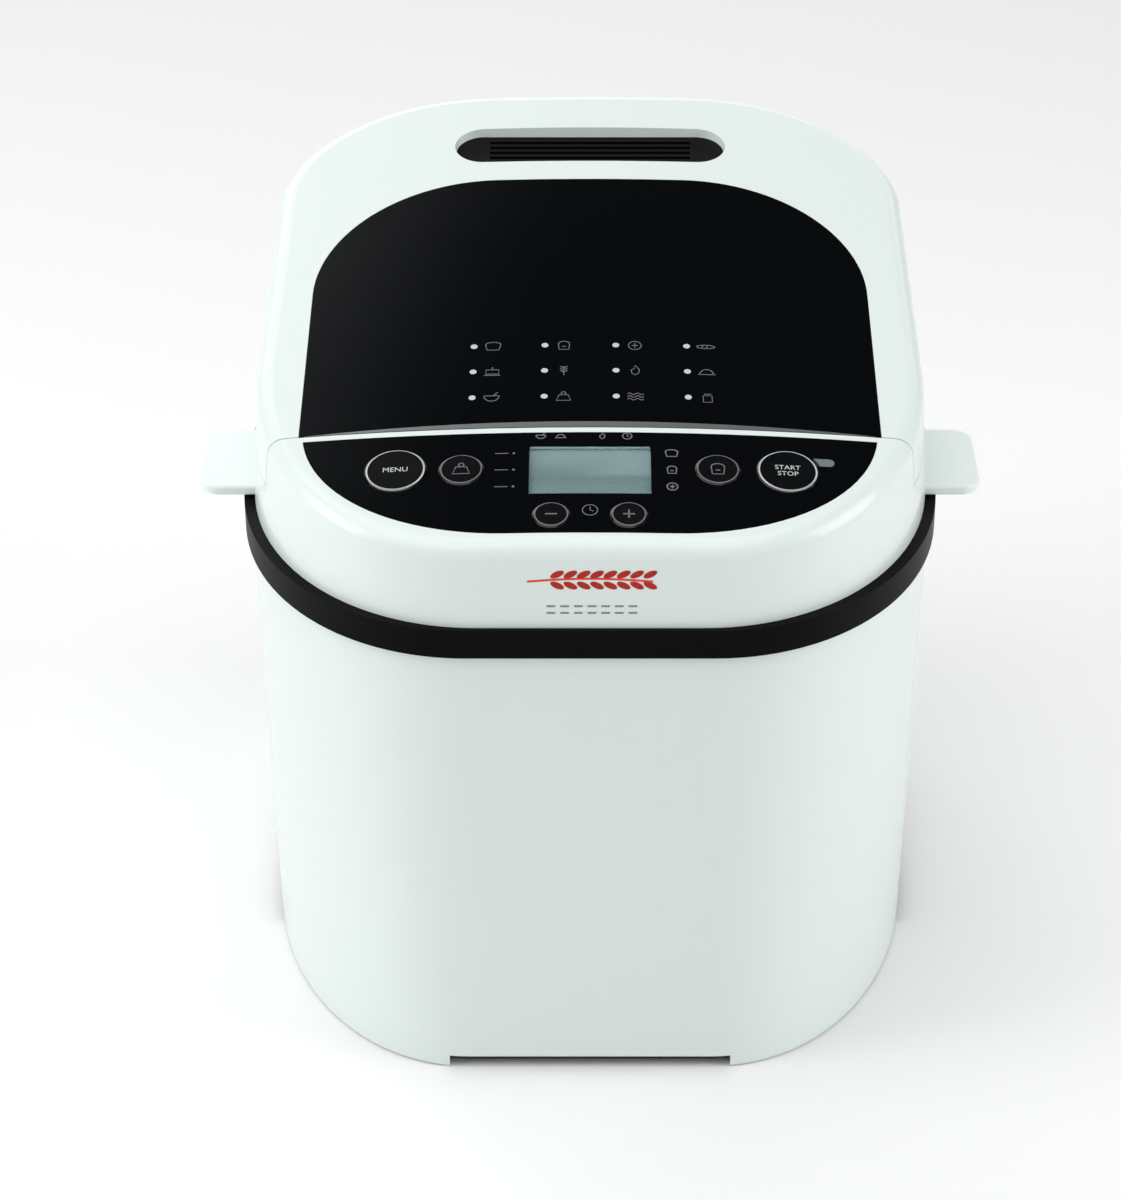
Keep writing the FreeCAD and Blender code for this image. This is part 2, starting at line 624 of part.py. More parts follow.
def make_indicator_lens():
    """Small light bar beside the start button, cut round the button's hole."""
    bar = prism(stadium(size("indicator_half") - 0.1, size("indicator_radius") - 0.1, -2.4), 2.3)
    bar.Placement = panel_frame(size("indicator_offset"), size("indicator_front"))
    hole = rod(size("start_stop_button_radius + button_gap + flange_rim"), 14, 0, 0, -7)
    hole.Placement = panel_frame(size("start_stop_button_x"), size("start_stop_button_y"))
    shaped("indicator_lens", bar.cut(hole))


def make_control_board():
    """Sloping circuit board under the control panel, with its switches."""
    frame = panel_frame(0, size("(window_front + window_rear) / 2"))
    level = frame.multVec(Vector(0, 0, -size("board_depth")))
    body = new_body("control_board", frame=Placement(level, frame.Rotation))
    sketch = new_sketch(body, "XY_Plane")
    polygon(sketch, [("-90", "-12"), ("-30", "-12"), ("-30", "-27"), ("30", "-27"), ("30", "-12"),
                     ("90", "-12"), ("90", "16"), ("-90", "16")])
    pad(body, sketch, "board_thickness", down=True)
    switches = []
    for name, _, _, _ in BUTTONS:
        place = panel_frame(size(f"{name}_button_x"), size(f"{name}_button_y"))
        plunger_top = -size("stem_depth + button_travel") - 0.3
        switch = block(-3, 3, -3, 3, plunger_top - 4, plunger_top - 1)
        switch = switch.fuse(rod(1.7, 1, 0, 0, plunger_top - 1))
        switch.Placement = place
        above = block(-160, 160, -160, 160, 0, 30)
        above.Placement = Placement(level, frame.Rotation)
        base = block(-2.5, 2.5, -2.5, 2.5, -15, plunger_top - 3)
        base.Placement = place
        switches.append(switch.fuse(base).common(above))
    shaped("tact_switches", Part.makeCompound(switches))


def make_button(name):
    """A press button: cap through the panel, retaining flange and stem."""
    radius = f"{name}_button_radius"
    place = panel_frame(size(f"{name}_button_x"), size(f"{name}_button_y"))
    body = new_body(f"button_{name}", frame=place)
    revolve(body, [("0", "button_rise"), (f"{radius} - 0.8", "button_rise"),
                   (radius, "button_rise - 0.5"), (radius, "-button_cap_depth"),
                   (f"{radius} + flange_rim", "-button_cap_depth"),
                   (f"{radius} + flange_rim", "-flange_depth"), ("stem_radius", "-flange_depth"),
                   ("stem_radius", "-stem_depth"), ("0", "-stem_depth")])


# ---------------------------------------------------------------- lid

def make_lid_cover(form, core):
    """White lid moulding with a seat for the black panel, the vent recess and knuckles."""
    front, level = size("seam_front + seam_gap"), size("seam_level") + 0.4
    zone = block(-160, 160, front, 160, level, 320)
    lid = form.cut(core).common(zone)
    lid = lid.fuse(form.common(block(-160, 160, front, front + size("panel_wall"), level, 320)))
    behind = block(-160, 160, front, 160, 200, 320)
    panel = prism(lid_panel_outline(0), 100).common(behind)
    thick = size("fascia_thickness")
    lid = lid.cut(panel.common(crown_layer(-3, thick)))
    opening = prism(lid_panel_outline(size("ledge_width")), 100)
    opening = opening.common(block(-160, 160, front + size("panel_wall") + 4, 160, 200, 320))
    lid = lid.cut(opening.common(crown_layer(thick - 1, thick + 4)))
    ledge = crown_layer(thick, thick + size("ledge_thickness"))
    ledge = ledge.common(prism(lid_panel_outline(-2), 100)).cut(opening).common(behind)
    lid = lid.fuse(ledge.common(form))
    lid = with_vent_recess(lid, form)
    for middle in hinge_places():
        for low, high in ((middle - 12.5, middle - 5.7), (middle + 5.7, middle + 12.5)):
            lid = lid.cut(hinge_rod(size("knuckle_radius") + 0.6, low, high))
        lid = lid.fuse(hinge_rod(size("knuckle_radius"), middle - 5.5, middle + 5.5))
        web = block(middle - 5.5, middle + 5.5, 141.6, size("hinge_back"), size("hinge_level"), 242)
        lid = lid.fuse(web.common(form))
        lid = lid.cut(hinge_rod(size("hinge_pin_radius + running_fit"), middle - 13, middle + 13))
    shaped("lid_cover", lid.removeSplitter())


def with_vent_recess(lid, form):
    """Add the bevelled vent recess to the lid skin."""
    frame = panel_frame(0, size("vent_back"))
    half, radius, depth = size("vent_half"), size("vent_radius"), size("vent_depth")
    bevel, grille = size("vent_bevel"), size("grille_thickness")
    bottom = -depth - grille
    collar = prism(stadium(half + 2, radius + 2, bottom), depth + grille)
    funnel = Part.makeLoft([stadium(half, radius, -depth), stadium(half + bevel, radius + bevel, 0.5)], True, True)
    throat = prism(stadium(half, radius, bottom - 1), depth + grille + 2)
    flare = prism(stadium(half + bevel + 2, radius + bevel + 2, -depth), depth)
    for shape in (collar, funnel, throat, flare):
        shape.Placement = frame
    lid = lid.fuse(collar.fuse(flare).common(form))
    return lid.cut(funnel).cut(throat)


def make_vent_grille():
    """Black slatted insert in the vent recess."""
    frame = panel_frame(0, size("vent_back"))
    half, radius = size("vent_half"), size("vent_radius")
    depth, thick = size("vent_depth"), size("grille_thickness")
    plate = prism(stadium(half, radius, -depth - thick), thick)
    reach = size("slat_half")
    for row in range(-2, 3):
        middle, slot = row * size("slat_pitch"), size("slat_gap") / 2
        plate = plate.cut(block(-reach, reach, middle - slot, middle + slot, -depth - 5, 0))
    plate.Placement = frame
    shaped("vent_grille", plate)


def make_lid_panels():
    """Black lid panel and the silver trim along its front edge."""
    front, gap = size("seam_front + seam_gap"), size("fascia_gap")
    layer = crown_layer(0, size("fascia_thickness"))
    zone = block(-160, 160, front, 160, 200, 320)
    blank = layer.common(prism(lid_panel_outline(gap), 100)).common(zone)
    arc = trim_arc_solid()
    shaped("lid_fascia", blank.cut(arc))
    shaped("lid_trim", blank.common(arc))


def make_lid_liner():
    """Inner lid pan: flat flange and a dome that clears the pan handle."""
    thick, level = size("liner_thickness"), size("liner_level")
    corner = size("chamber_corner")
    front_half = prism(plan(size("liner_half"), -size("liner_front"), 60, size("liner_corner"),
                            size("liner_corner"), 1, level), thick)
    rear_half = prism(plan(size("liner_half"), 0, size("liner_rear"), size("liner_rear_corner_x"),
                           1, size("liner_rear_corner_y"), level), thick)
    flange = front_half.fuse(rear_half).removeSplitter()

    def dome(inset, lift):
        low = plan(size("dome_low_half") - inset, -size("dome_low_front") - inset,
                   size("dome_low_rear") - inset, corner, corner, corner, level - lift)
        top = plan(size("dome_top_half") - inset, -size("dome_top_front") - inset,
                   size("dome_top_rear") - inset, corner, corner, corner, size("dome_top") - lift)
        return Part.makeLoft([low, top], True, True)

    liner = flange.fuse(dome(0, 0)).cut(dome(thick, thick))
    for column in range(-3, 4):
        for row in (0, 1):
            liner = liner.cut(rod(2, 20, column * 11, 96 + 10 * row, size("dome_top") - 10))
    shaped("lid_liner", liner.removeSplitter())


def make_lid_seal():
    """Soft ring under the lid round the oven opening."""
    corner, drop = size("seal_corner"), size("seal_drop")
    level = size("liner_level") - drop

    def ring(inset):
        return prism(plan(size("seal_half") - inset, -size("seal_front") - inset,
                          size("seal_rear") - inset, corner - inset, corner - inset,
                          corner + 4 - inset, level), drop)

    shaped("lid_seal", ring(0).cut(ring(size("seal_width"))))


def make_hinge_pins():
    """Two short steel pins on the hinge axis."""
    pins = [cylinder("hinge_pin_radius", "24", f"{side} * hinge_offset - 12", "hinge_back",
                     "hinge_level", Vector(1, 0, 0)) for side in ("-1", "1")]
    named(fuse(pins), "hinge_pins")


# ---------------------------------------------------------------- base and chassis

def corner_places(x, y):
    """The four mirrored places of a corner piece, as expressions."""
    return [(f"{sx} * {x}", f"{sy} * {y}") for sx in ("-1", "1") for sy in ("-1", "1")]


def make_base_plate():
    """Black tray that closes the underside, with slots, stud holes and screw seats."""
    low, rim = size("base_bottom"), size("base_rim_top")
    start = size("skin_thickness + base_clearance")

    def tray(inset, z0, z1):
        return prism(foot_plan(start + inset, z0), z1 - z0)

    plate = tray(0, low, rim).cut(tray(size("base_wall"), low + size("base_thickness"), rim))
    for x, y in corner_places("foot_offset_x", "foot_offset_y"):
        plate = plate.cut(rod(size("foot_stud_radius"), 10, size(x), size(y), 0))
    for x, y in corner_places("screw_offset_x", "screw_offset_y"):
        plate = plate.cut(rod(size("screw_radius"), 10, size(x), size(y), 0))
        plate = plate.cut(rod(size("screw_head_radius"), size("screw_head_depth"), size(x), size(y), low))
    for column in range(-3, 4):
        middle = column * size("slot_pitch")
        plate = plate.cut(block(middle - 1.5, middle + 1.5, -120, -70, 0, 8))
        plate = plate.cut(block(middle - 1.5, middle + 1.5, 85, 120, 0, 8))
    shaped("base_plate", plate)


def make_rubber_feet():
    """Four turned rubber feet with studs in the base plate."""
    feet = []
    for x, y in corner_places("foot_offset_x", "foot_offset_y"):
        pad_disc = cylinder("foot_radius", "base_bottom", x, y, "0")
        stud = cylinder("foot_stud_radius", "foot_stud_top - base_bottom", x, y, "base_bottom")
        feet += [pad_disc, stud]
    named(fuse(feet), "rubber_feet")


def make_base_screws():
    """Four screws up through the base plate into the chassis posts."""
    screws = []
    for x, y in corner_places("screw_offset_x", "screw_offset_y"):
        head = cylinder("screw_head_radius", "screw_head_depth", x, y, "base_bottom")
        shank = cylinder("screw_radius", "screw_length", x, y, "base_bottom")
        screws += [head, shank]
    drive = [cylinder("screw_radius / 2", "1", x, y, "base_bottom")
             for x, y in corner_places("screw_offset_x", "screw_offset_y")]
    named(cut(fuse(screws), drive), "base_screws")


def make_chassis():
    """Steel chassis plate on four posts."""
    body = new_body("chassis_plate", z="chassis_bottom")
    sketch = new_sketch(body, "XY_Plane")
    rounded_rectangle(sketch, "-chassis_half_width", "chassis_half_width", "-chassis_half_depth",
                      "chassis_half_depth", "chassis_corner")
    circle(sketch, "bearing_radius", "0", "drive_back")
    circle(sketch, "motor_pulley_radius + 4", "motor_x", "motor_y")
    pad(body, sketch, "chassis_thickness")
    posts = []
    bores = []
    for x, y in corner_places("screw_offset_x", "screw_offset_y"):
        bottom = "base_bottom + base_thickness"
        posts.append(cylinder("post_radius", f"chassis_bottom - ({bottom})", x, y, bottom))
        bores.append(cylinder("screw_radius", "screw_length + 2", x, y, bottom))
    named(cut(fuse(posts), bores), "chassis_posts")


def make_drive_bearing():
    """Bearing housing on the chassis and its two bushes."""
    body = new_body("drive_bearing_housing", y="drive_back")
    revolve(body, [("bush_radius", "bearing_bottom"), ("bearing_radius", "bearing_bottom"),
                   ("bearing_radius", "chassis_bottom + chassis_thickness"),
                   ("bearing_flange", "chassis_bottom + chassis_thickness"),
                   ("bearing_flange", "bearing_flange_top"), ("bearing_neck", "bearing_flange_top"),
                   ("bearing_neck", "chamber_floor - sheet_thickness"),
                   ("bush_radius", "chamber_floor - sheet_thickness")])
    bushes = []
    for bottom in ("bearing_bottom", "chamber_floor - sheet_thickness - 6"):
        outer = cylinder("bush_radius", "6", "0", "drive_back", bottom)
        inner = cylinder("shaft_radius + running_fit", "6", "0", "drive_back", bottom)
        bushes.append(cut(outer, [inner]))
    named(fuse(bushes), "drive_bushes")


def make_drive():
    """Turning drive: shaft, large pulley below the chassis and coupler in the oven."""
    named(cylinder("shaft_radius", "shaft_top - shaft_bottom", "0", "drive_back", "shaft_bottom"), "drive_shaft")
    body = new_body("drive_pulley", y="drive_back", z="pulley_bottom")
    rim = "drive_pulley_radius - 4"
    web_low, web_high = "(pulley_height - pulley_web) / 2", "(pulley_height + pulley_web) / 2"
    revolve(body, [("shaft_radius", "0"), ("pulley_hub_radius", "0"), ("pulley_hub_radius", web_low),
                   (rim, web_low), (rim, "0"), ("drive_pulley_radius", "0"),
                   ("drive_pulley_radius", "pulley_height"), (rim, "pulley_height"), (rim, web_high),
                   ("pulley_hub_radius", web_high), ("pulley_hub_radius", "pulley_height"),
                   ("shaft_radius", "pulley_height")])
    add_teeth(body, "drive_pulley_radius", size("drive_teeth"))
    coupler = rod(size("coupler_radius"), 4, 0, 0, 49)
    lugs = coupler_lugs(0, 53, 60)
    coupler = coupler.fuse(lugs).cut(rod(size("shaft_radius"), 20, 0, 0, 45))
    shaped("drive_coupler", coupler, drive_axis())


def add_teeth(body, radius, count):
    """Cut belt grooves round a pulley's rim."""
    sketch = new_sketch(body, "XY_Plane", "pulley_height")
    circle(sketch, "tooth_depth / 1.5", radius)
    groove = pocket(body, sketch, "pulley_height")
    polar(body, groove, round(count))


def coupler_lugs(start, low, high):
    """Two opposite driving lugs of a coupler between two levels."""
    outer, inner, angle = size("coupler_radius"), size("lug_inner"), size("lug_angle")
    lugs = []
    for turn in (0, 180):
        sector = Part.makeCylinder(outer, high - low, Vector(0, 0, low), Vector(0, 0, 1), angle)
        sector = sector.cut(rod(inner, high - low, 0, 0, low))
        sector.rotate(Vector(0, 0, 0), Vector(0, 0, 1), start + turn - angle / 2)
        lugs.append(sector)
    return lugs[0].fuse(lugs[1])


def drive_axis():
    """Frame on the drive axis at table level."""
    return Placement(Vector(0, size("drive_back"), 0), Rotation())


def make_motor():
    """Motor: laminated stator, bracket, turning rotor with pulley and fan."""
    body = new_body("motor_stator", "motor_x", "motor_y", "motor_bottom")
    sketch = new_sketch(body, "XY_Plane")
    rounded_rectangle(sketch, "-motor_width / 2", "motor_width / 2", "-motor_depth / 2",
                      "motor_depth / 2", "6")
    circle(sketch, "rotor_radius + rotor_gap")
    pad(body, sketch, "motor_height")
    make_motor_bracket()
    body = new_body("motor_rotor", "motor_x", "motor_y")
    revolve(body, [("0", "motor_shaft_bottom"), ("motor_shaft_radius", "motor_shaft_bottom"),
                   ("motor_shaft_radius", "motor_bottom + 1"), ("rotor_radius", "motor_bottom + 1"),
                   ("rotor_radius", "motor_bottom + motor_height - 1"),
                   ("motor_shaft_radius", "motor_bottom + motor_height - 1"),
                   ("motor_shaft_radius", "motor_shaft_top"), ("0", "motor_shaft_top")])
    body = new_body("motor_pulley", "motor_x", "motor_y", "pulley_bottom")
    revolve(body, [("motor_shaft_radius", "0"), ("motor_pulley_radius", "0"),
                   ("motor_pulley_radius", "pulley_height"), ("motor_shaft_radius", "pulley_height")])
    add_teeth(body, "motor_pulley_radius", size("motor_teeth"))
    make_fan()


def make_motor_bracket():
    """Two end plates with bearing bores, held on four legs above the chassis."""
    x0, x1 = "motor_x - motor_width / 2", "motor_x + motor_width / 2"
    y0, y1 = "motor_y - motor_depth / 2", "motor_y + motor_depth / 2"
    top = "motor_bottom + motor_height"
    plates = [box(x0, x1, y0, y1, "motor_bottom - bracket_plate", "motor_bottom"),
              box("motor_x - 12", "motor_x + 12", y0, y1, top, f"{top} + bracket_plate")]
    legs = []
    for x in ("motor_x - motor_width / 2 + 6", "motor_x + motor_width / 2 - 6"):
        for y in ("motor_y - motor_depth / 2 + 6", "motor_y + motor_depth / 2 - 6"):
            floor = "chassis_bottom + chassis_thickness"
            legs.append(cylinder("4", f"motor_bottom - bracket_plate - ({floor})", x, y, floor))
    bore = cylinder("motor_shaft_radius + running_fit", "80", "motor_x", "motor_y", "chassis_bottom")
    named(cut(fuse(plates + legs), [bore]), "motor_bracket")


def make_fan():
    """Cooling fan on top of the motor shaft."""
    body = new_body("motor_fan", "motor_x", "motor_y", "fan_bottom")
    revolve(body, [("motor_shaft_radius", "0"), ("7", "0"), ("7", "1.5"), ("fan_radius", "1.5"),
                   ("fan_radius", "3"), ("7", "3"), ("7", "fan_height"),
                   ("motor_shaft_radius", "fan_height")])
    sketch = new_sketch(body, "XY_Plane", "2.5")
    polygon(sketch, [("6.5", "-blade_thickness / 2"), ("fan_radius - 1", "-blade_thickness / 2"),
                     ("fan_radius - 1", "blade_thickness / 2"), ("6.5", "blade_thickness / 2")])
    blade = pad(body, sketch, "fan_height - 2.5")
    polar(body, blade, 10)


def make_belt():
    """Toothed belt round both pulleys, as one closed loop."""
    big, small = size("drive_pulley_radius + belt_gap"), size("motor_pulley_radius + belt_gap")
    thick = size("belt_thickness")
    x, y = size("motor_x"), size("motor_y")
    low = size("pulley_bottom + belt_inset")
    high = size("pulley_bottom + pulley_height - belt_inset")
    centre = Vector(x, y - size("drive_back"), 0)

    def loop(extra):
        length = centre.Length
        tilt = math.asin((big - small) / length)
        towards = math.atan2(centre.y, centre.x)
        solid = rod(big + extra, high - low, 0, 0, low)
        solid = solid.fuse(rod(small + extra, high - low, centre.x, centre.y, low))
        points = []
        for side in (1, -1):
            angle = towards + side * (math.pi / 2 - tilt)
            normal = Vector(math.cos(angle), math.sin(angle), 0)
            ends = [normal * (big + extra), centre + normal * (small + extra)]
            points += ends if side > 0 else ends[::-1]
        outline = Part.makePolygon([point + Vector(0, 0, low) for point in points + points[:1]])
        return solid.fuse(prism(outline, high - low))

    shaped("drive_belt", loop(thick).cut(loop(0)).removeSplitter(), drive_axis())


def make_electrics():
    """Capacitor, power board, terminal block, ribbon cable, thermal fuse and gland."""
    floor = "chassis_bottom + chassis_thickness"
    body = new_body("motor_capacitor", "capacitor_x", "capacitor_y", floor)
    revolve(body, [("0", "0"), ("capacitor_radius", "0"), ("capacitor_radius", "capacitor_height - 2"),
                   ("capacitor_radius - 2", "capacitor_height"), ("4", "capacitor_height"),
                   ("4", "capacitor_height + 3"), ("0", "capacitor_height + 3")])
    x0, y0 = "-95", "-112"
    board = box(x0, f"{x0} + power_board_width", y0, f"{y0} + power_board_depth",
                "power_board_level", "power_board_level + board_thickness")
    top = "power_board_level + board_thickness"
    parts = [board, box("-86", "-56", "-106", "-80", top, f"{top} + 24"),
             box("-50", "-34", "-108", "-96", top, f"{top} + 16"),
             box("-50", "-34", "-92", "-80", top, f"{top} + 16"),
             cylinder("6", "22", "-24", "-102", top), box("-28", "-20", "-90", "-72", top, f"{top} + 26")]
    for x in ("-91", "-19"):
        for y in ("-108", "-72"):
            parts.append(cylinder("3", f"power_board_level - ({floor})", x, y, floor))
    named(fuse(parts), "power_board")
    base = "base_bottom + base_thickness"
    block_body = box("25", "55", "112", "126", base, f"{base} + 12")
    screws = [cylinder("2.2", "4", f"{30 + 10 * index}", "119", f"{base} + 10") for index in range(3)]
    named(cut(block_body, screws), "terminal_block")
    named(box("-72", "-52", "-78", "-77", f"{top} + 2", "seam_level - 10"), "ribbon_cable")
    body = new_body("cord_gland", "gland_x", "0", "gland_level")
    body.Placement.Rotation = Rotation(Vector(1, 0, 0), -90)
    revolve(body, [("gland_bore", "138"), ("gland_radius", "138"), ("gland_radius", "147"),
                   ("gland_radius + 2", "147"), ("gland_radius + 2", "148.5"),
                   ("gland_radius - 1.5", "150"), ("gland_bore", "150")])


# ---------------------------------------------------------------- oven

def make_oven_chamber():
    """Sheet-metal oven box with a top flange, floor hole and heater holes."""
    body = new_body("oven_chamber", z="chamber_floor - sheet_thickness")
    height = "deck_level - chamber_floor + sheet_thickness"
    sketch = new_sketch(body, "XY_Plane")
    rounded_rectangle(sketch, "-chamber_half - sheet_thickness", "chamber_half + sheet_thickness",
                      "chamber_front - sheet_thickness", "chamber_rear + sheet_thickness",
                      "chamber_corner + sheet_thickness")
    pad(body, sketch, height)
    sketch = new_sketch(body, "XY_Plane", height)
    reach = "(sheet_thickness + chamber_flange)"
    rounded_rectangle(sketch, f"-chamber_half - {reach}", f"chamber_half + {reach}",
                      f"chamber_front - {reach}", f"chamber_rear + {reach}", f"chamber_corner + {reach}")
    pad(body, sketch, "sheet_thickness", down=True)
    sketch = new_sketch(body, "XY_Plane", height)
    rounded_rectangle(sketch, "-chamber_half", "chamber_half", "chamber_front", "chamber_rear",
                      "chamber_corner")
    pocket(body, sketch, "deck_level - chamber_floor")
    sketch = new_sketch(body, "XY_Plane", height)
    circle(sketch, "bearing_neck - 4", "0", "drive_back")
    pocket(body, sketch, height)
    sketch = new_sketch(body, "XZ_Plane")
    level = "element_level - chamber_floor + sheet_thickness"
    circle(sketch, "element_radius + 0.2", "-element_terminal", level)
    circle(sketch, "element_radius + 0.2", "element_terminal", level)
    circle(sketch, "3", "-60", "110 - chamber_floor")
    pocket(body, sketch, "-chamber_front + 5", up=True)


def rounded_path(points, radii):
    """A path through points with arcs at the inner ones."""
    edges = []
    start = points[0]
    for index, radius in enumerate(radii, 1):
        before, corner, after = points[index - 1], points[index], points[index + 1]
        back, ahead = (before - corner).normalize(), (after - corner).normalize()
        reach = radius / math.tan(back.getAngle(ahead) / 2)
        first, last = corner + back * reach, corner + ahead * reach
        middle_way = (back + ahead).normalize()
        centre = corner + middle_way * math.hypot(radius, reach)
        middle = centre - middle_way * radius
        edges.append(Part.LineSegment(start, first).toShape())
        edges.append(Part.Arc(first, middle, last).toShape())
        start = last
    edges.append(Part.LineSegment(start, points[-1]).toShape())
    return Part.Wire(edges)


def tube(path, radius):
    """A round bar along a path of straight runs and arcs."""
    start = path.Vertexes[0].Point
    direction = path.Edges[0].tangentAt(path.Edges[0].FirstParameter)
    profile = Part.Wire([Part.makeCircle(radius, start, direction)])
    return path.makePipeShell([profile], True, False)


def make_heater():
    """Heating element loop on the oven floor, and the clips that carry it."""
    half, middle, level = size("element_half"), size("drive_back"), size("element_level")
    inner, end = size("element_terminal"), size("element_end")
    front, rear = middle - half, middle + half
    spots = [(-inner, end), (-inner, front), (-half, front), (-half, rear), (half, rear),
             (half, front), (inner, front), (inner, end)]
    small, large = size("element_bend"), size("element_corner")
    path = rounded_path([Vector(x, y, level) for x, y in spots], [small, large, large, large, large, small])
    shaped("heating_element", tube(path, size("element_radius")))
    clips = []
    top = "element_level - element_radius"
    for x in ("-element_half", "element_half"):
        clips.append(box(f"{x} - 3", f"{x} + 3", "drive_back - 4", "drive_back + 4", "chamber_floor", top))
    for x in ("-45", "45"):
        for y in ("drive_back - element_half", "drive_back + element_half"):
            clips.append(box(f"{x} - 4", f"{x} + 4", f"{y} - 3", f"{y} + 3", "chamber_floor", top))
    named(fuse(clips), "element_clips")


def make_oven_fittings():
    """Heat shield, temperature sensor and the pan's spring clips."""
    back = "shield_front + shield_thickness"
    floor = "chassis_bottom + chassis_thickness"
    plate = [box("-shield_half", "shield_half", "shield_front", back, floor, "shield_top"),
             box("-shield_half", "shield_half", "shield_front", "shield_front + 5", floor, f"{floor} + 1")]
    ahead = Vector(0, 1, 0)
    holes = [cylinder("5", "6", "-element_terminal", "shield_front - 2", "element_level", ahead),
             cylinder("5", "6", "element_terminal", "shield_front - 2", "element_level", ahead),
             cylinder("3", "6", "-60", "shield_front - 2", "110 - sheet_thickness", ahead)]
    named(cut(fuse(plate), holes), "heat_shield")
    level = "110 - sheet_thickness"
    named(cylinder("3", "22", "-60", "shield_front - 4", level, ahead), "temperature_sensor")
    clips = []
    for sign in ("-1", "1"):
        inner = f"{sign} * (pan_base_radius + 2.5)"
        clips.append(box(f"{inner} - 1", f"{inner} + 1", "drive_back - 12", "drive_back + 12",
                         "chamber_floor", "chamber_floor + 15"))
        clips.append(box(f"{inner} - 4 + 1.5 * {sign}", f"{inner} + 4 + 1.5 * {sign}", "drive_back - 12",
                         "drive_back + 12", "chamber_floor", "chamber_floor + 1"))
    named(fuse(clips), "pan_clips")


# ---------------------------------------------------------------- bread pan

def make_bread_pan():
    """Tapered coated pan with a rolled rim."""
    body = new_body("bread_pan", y="drive_back", z="pan_top")
    depth = "pan_top - pan_bottom"
    sketch = new_sketch(body, "XY_Plane")
    rounded_rectangle(sketch, "-pan_half_width", "pan_half_width", "-pan_half_depth",
                      "pan_half_depth", "pan_corner")
    pad(body, sketch, depth, taper="-pan_taper", down=True)
    sketch = new_sketch(body, "XY_Plane")
    rounded_rectangle(sketch, "-pan_half_width - rim_width", "pan_half_width + rim_width",
                      "-pan_half_depth - rim_width", "pan_half_depth + rim_width",
                      "pan_corner + rim_width")
    pad(body, sketch, "rim_thickness", down=True)
    sketch = new_sketch(body, "XY_Plane")
    rounded_rectangle(sketch, "-pan_half_width + pan_wall", "pan_half_width - pan_wall",
                      "-pan_half_depth + pan_wall", "pan_half_depth - pan_wall",
                      "pan_corner - pan_wall")
    pocket(body, sketch, f"{depth} - pan_wall", taper="-pan_taper")
    sketch = new_sketch(body, "XY_Plane")
    circle(sketch, "seal_radius")
    pocket(body, sketch, depth)


def make_pan_fittings():
    """Pan foot ring, shaft seal and the lugs with pivots for the handle."""
    body = new_body("pan_base", y="drive_back")
    inner = "pan_base_radius - pan_base_wall"
    revolve(body, [("seal_radius", "pan_bottom - 1.5"), (inner, "pan_bottom - 1.5"),
                   (inner, "pan_base_bottom"), ("pan_base_radius", "pan_base_bottom"),
                   ("pan_base_radius", "pan_bottom"), ("seal_radius", "pan_bottom")])
    body = new_body("pan_shaft_seal", y="drive_back")
    bore = "shaft_radius + running_fit"
    revolve(body, [(bore, "pan_bottom - 1.5"), ("seal_radius", "pan_bottom - 1.5"),
                   ("seal_radius", "pan_bottom + pan_wall"), (f"{bore} + 1", "pan_bottom + 4"),
                   (bore, "pan_bottom + 4")])
    pivots = []
    for sign in ("-1", "1"):
        near, far = f"{sign} * (pan_half_width + 1.6)", f"{sign} * (bail_half + 3.4)"
        outward = Vector(float(sign), 0, 0)
        pivots.append(box(f"{near} - 1.5", f"{near} + 1.5", "drive_back - 9", "drive_back + 9",
                          "pivot_level - 8", "pan_top - rim_thickness"))
        pivots.append(cylinder("pivot_radius", "bail_half + 3 - pan_half_width - 1",
                               f"{sign} * (pan_half_width + 1)", "drive_back", "pivot_level", outward))
        pivots.append(cylinder("pivot_radius + 1.5", "1", f"{sign} * (bail_half + 2.6)", "drive_back",
                               "pivot_level", outward))
    named(fuse(pivots), "pan_handle_pivots")


def make_pan_handle():
    """Wire bail with an eye on each pivot, folded towards the front."""
    half, arm, wire = size("bail_half"), size("bail_arm"), size("bail_wire")
    eye, corner, cheek = size("bail_eye"), size("bail_corner"), size("bail_wire") + 0.3
    points = [Vector(-half, eye - wire, 0), Vector(-half, arm, 0), Vector(half, arm, 0),
              Vector(half, eye - wire, 0)]
    bail = tube(rounded_path(points, [corner, corner]), wire)
    along = Vector(1, 0, 0)
    for x in (-half, half):
        bail = bail.fuse(rod(eye, 2 * cheek, x - cheek, 0, 0, along))
        bail = bail.cut(rod(size("pivot_radius + running_fit"), 2 * cheek, x - cheek, 0, 0, along))
    turn = Rotation(Vector(1, 0, 0), 180 - size("bail_rest"))
    pivot = Placement(Vector(0, size("drive_back"), size("pivot_level")), turn)
    shaped("pan_handle", bail.removeSplitter(), pivot)


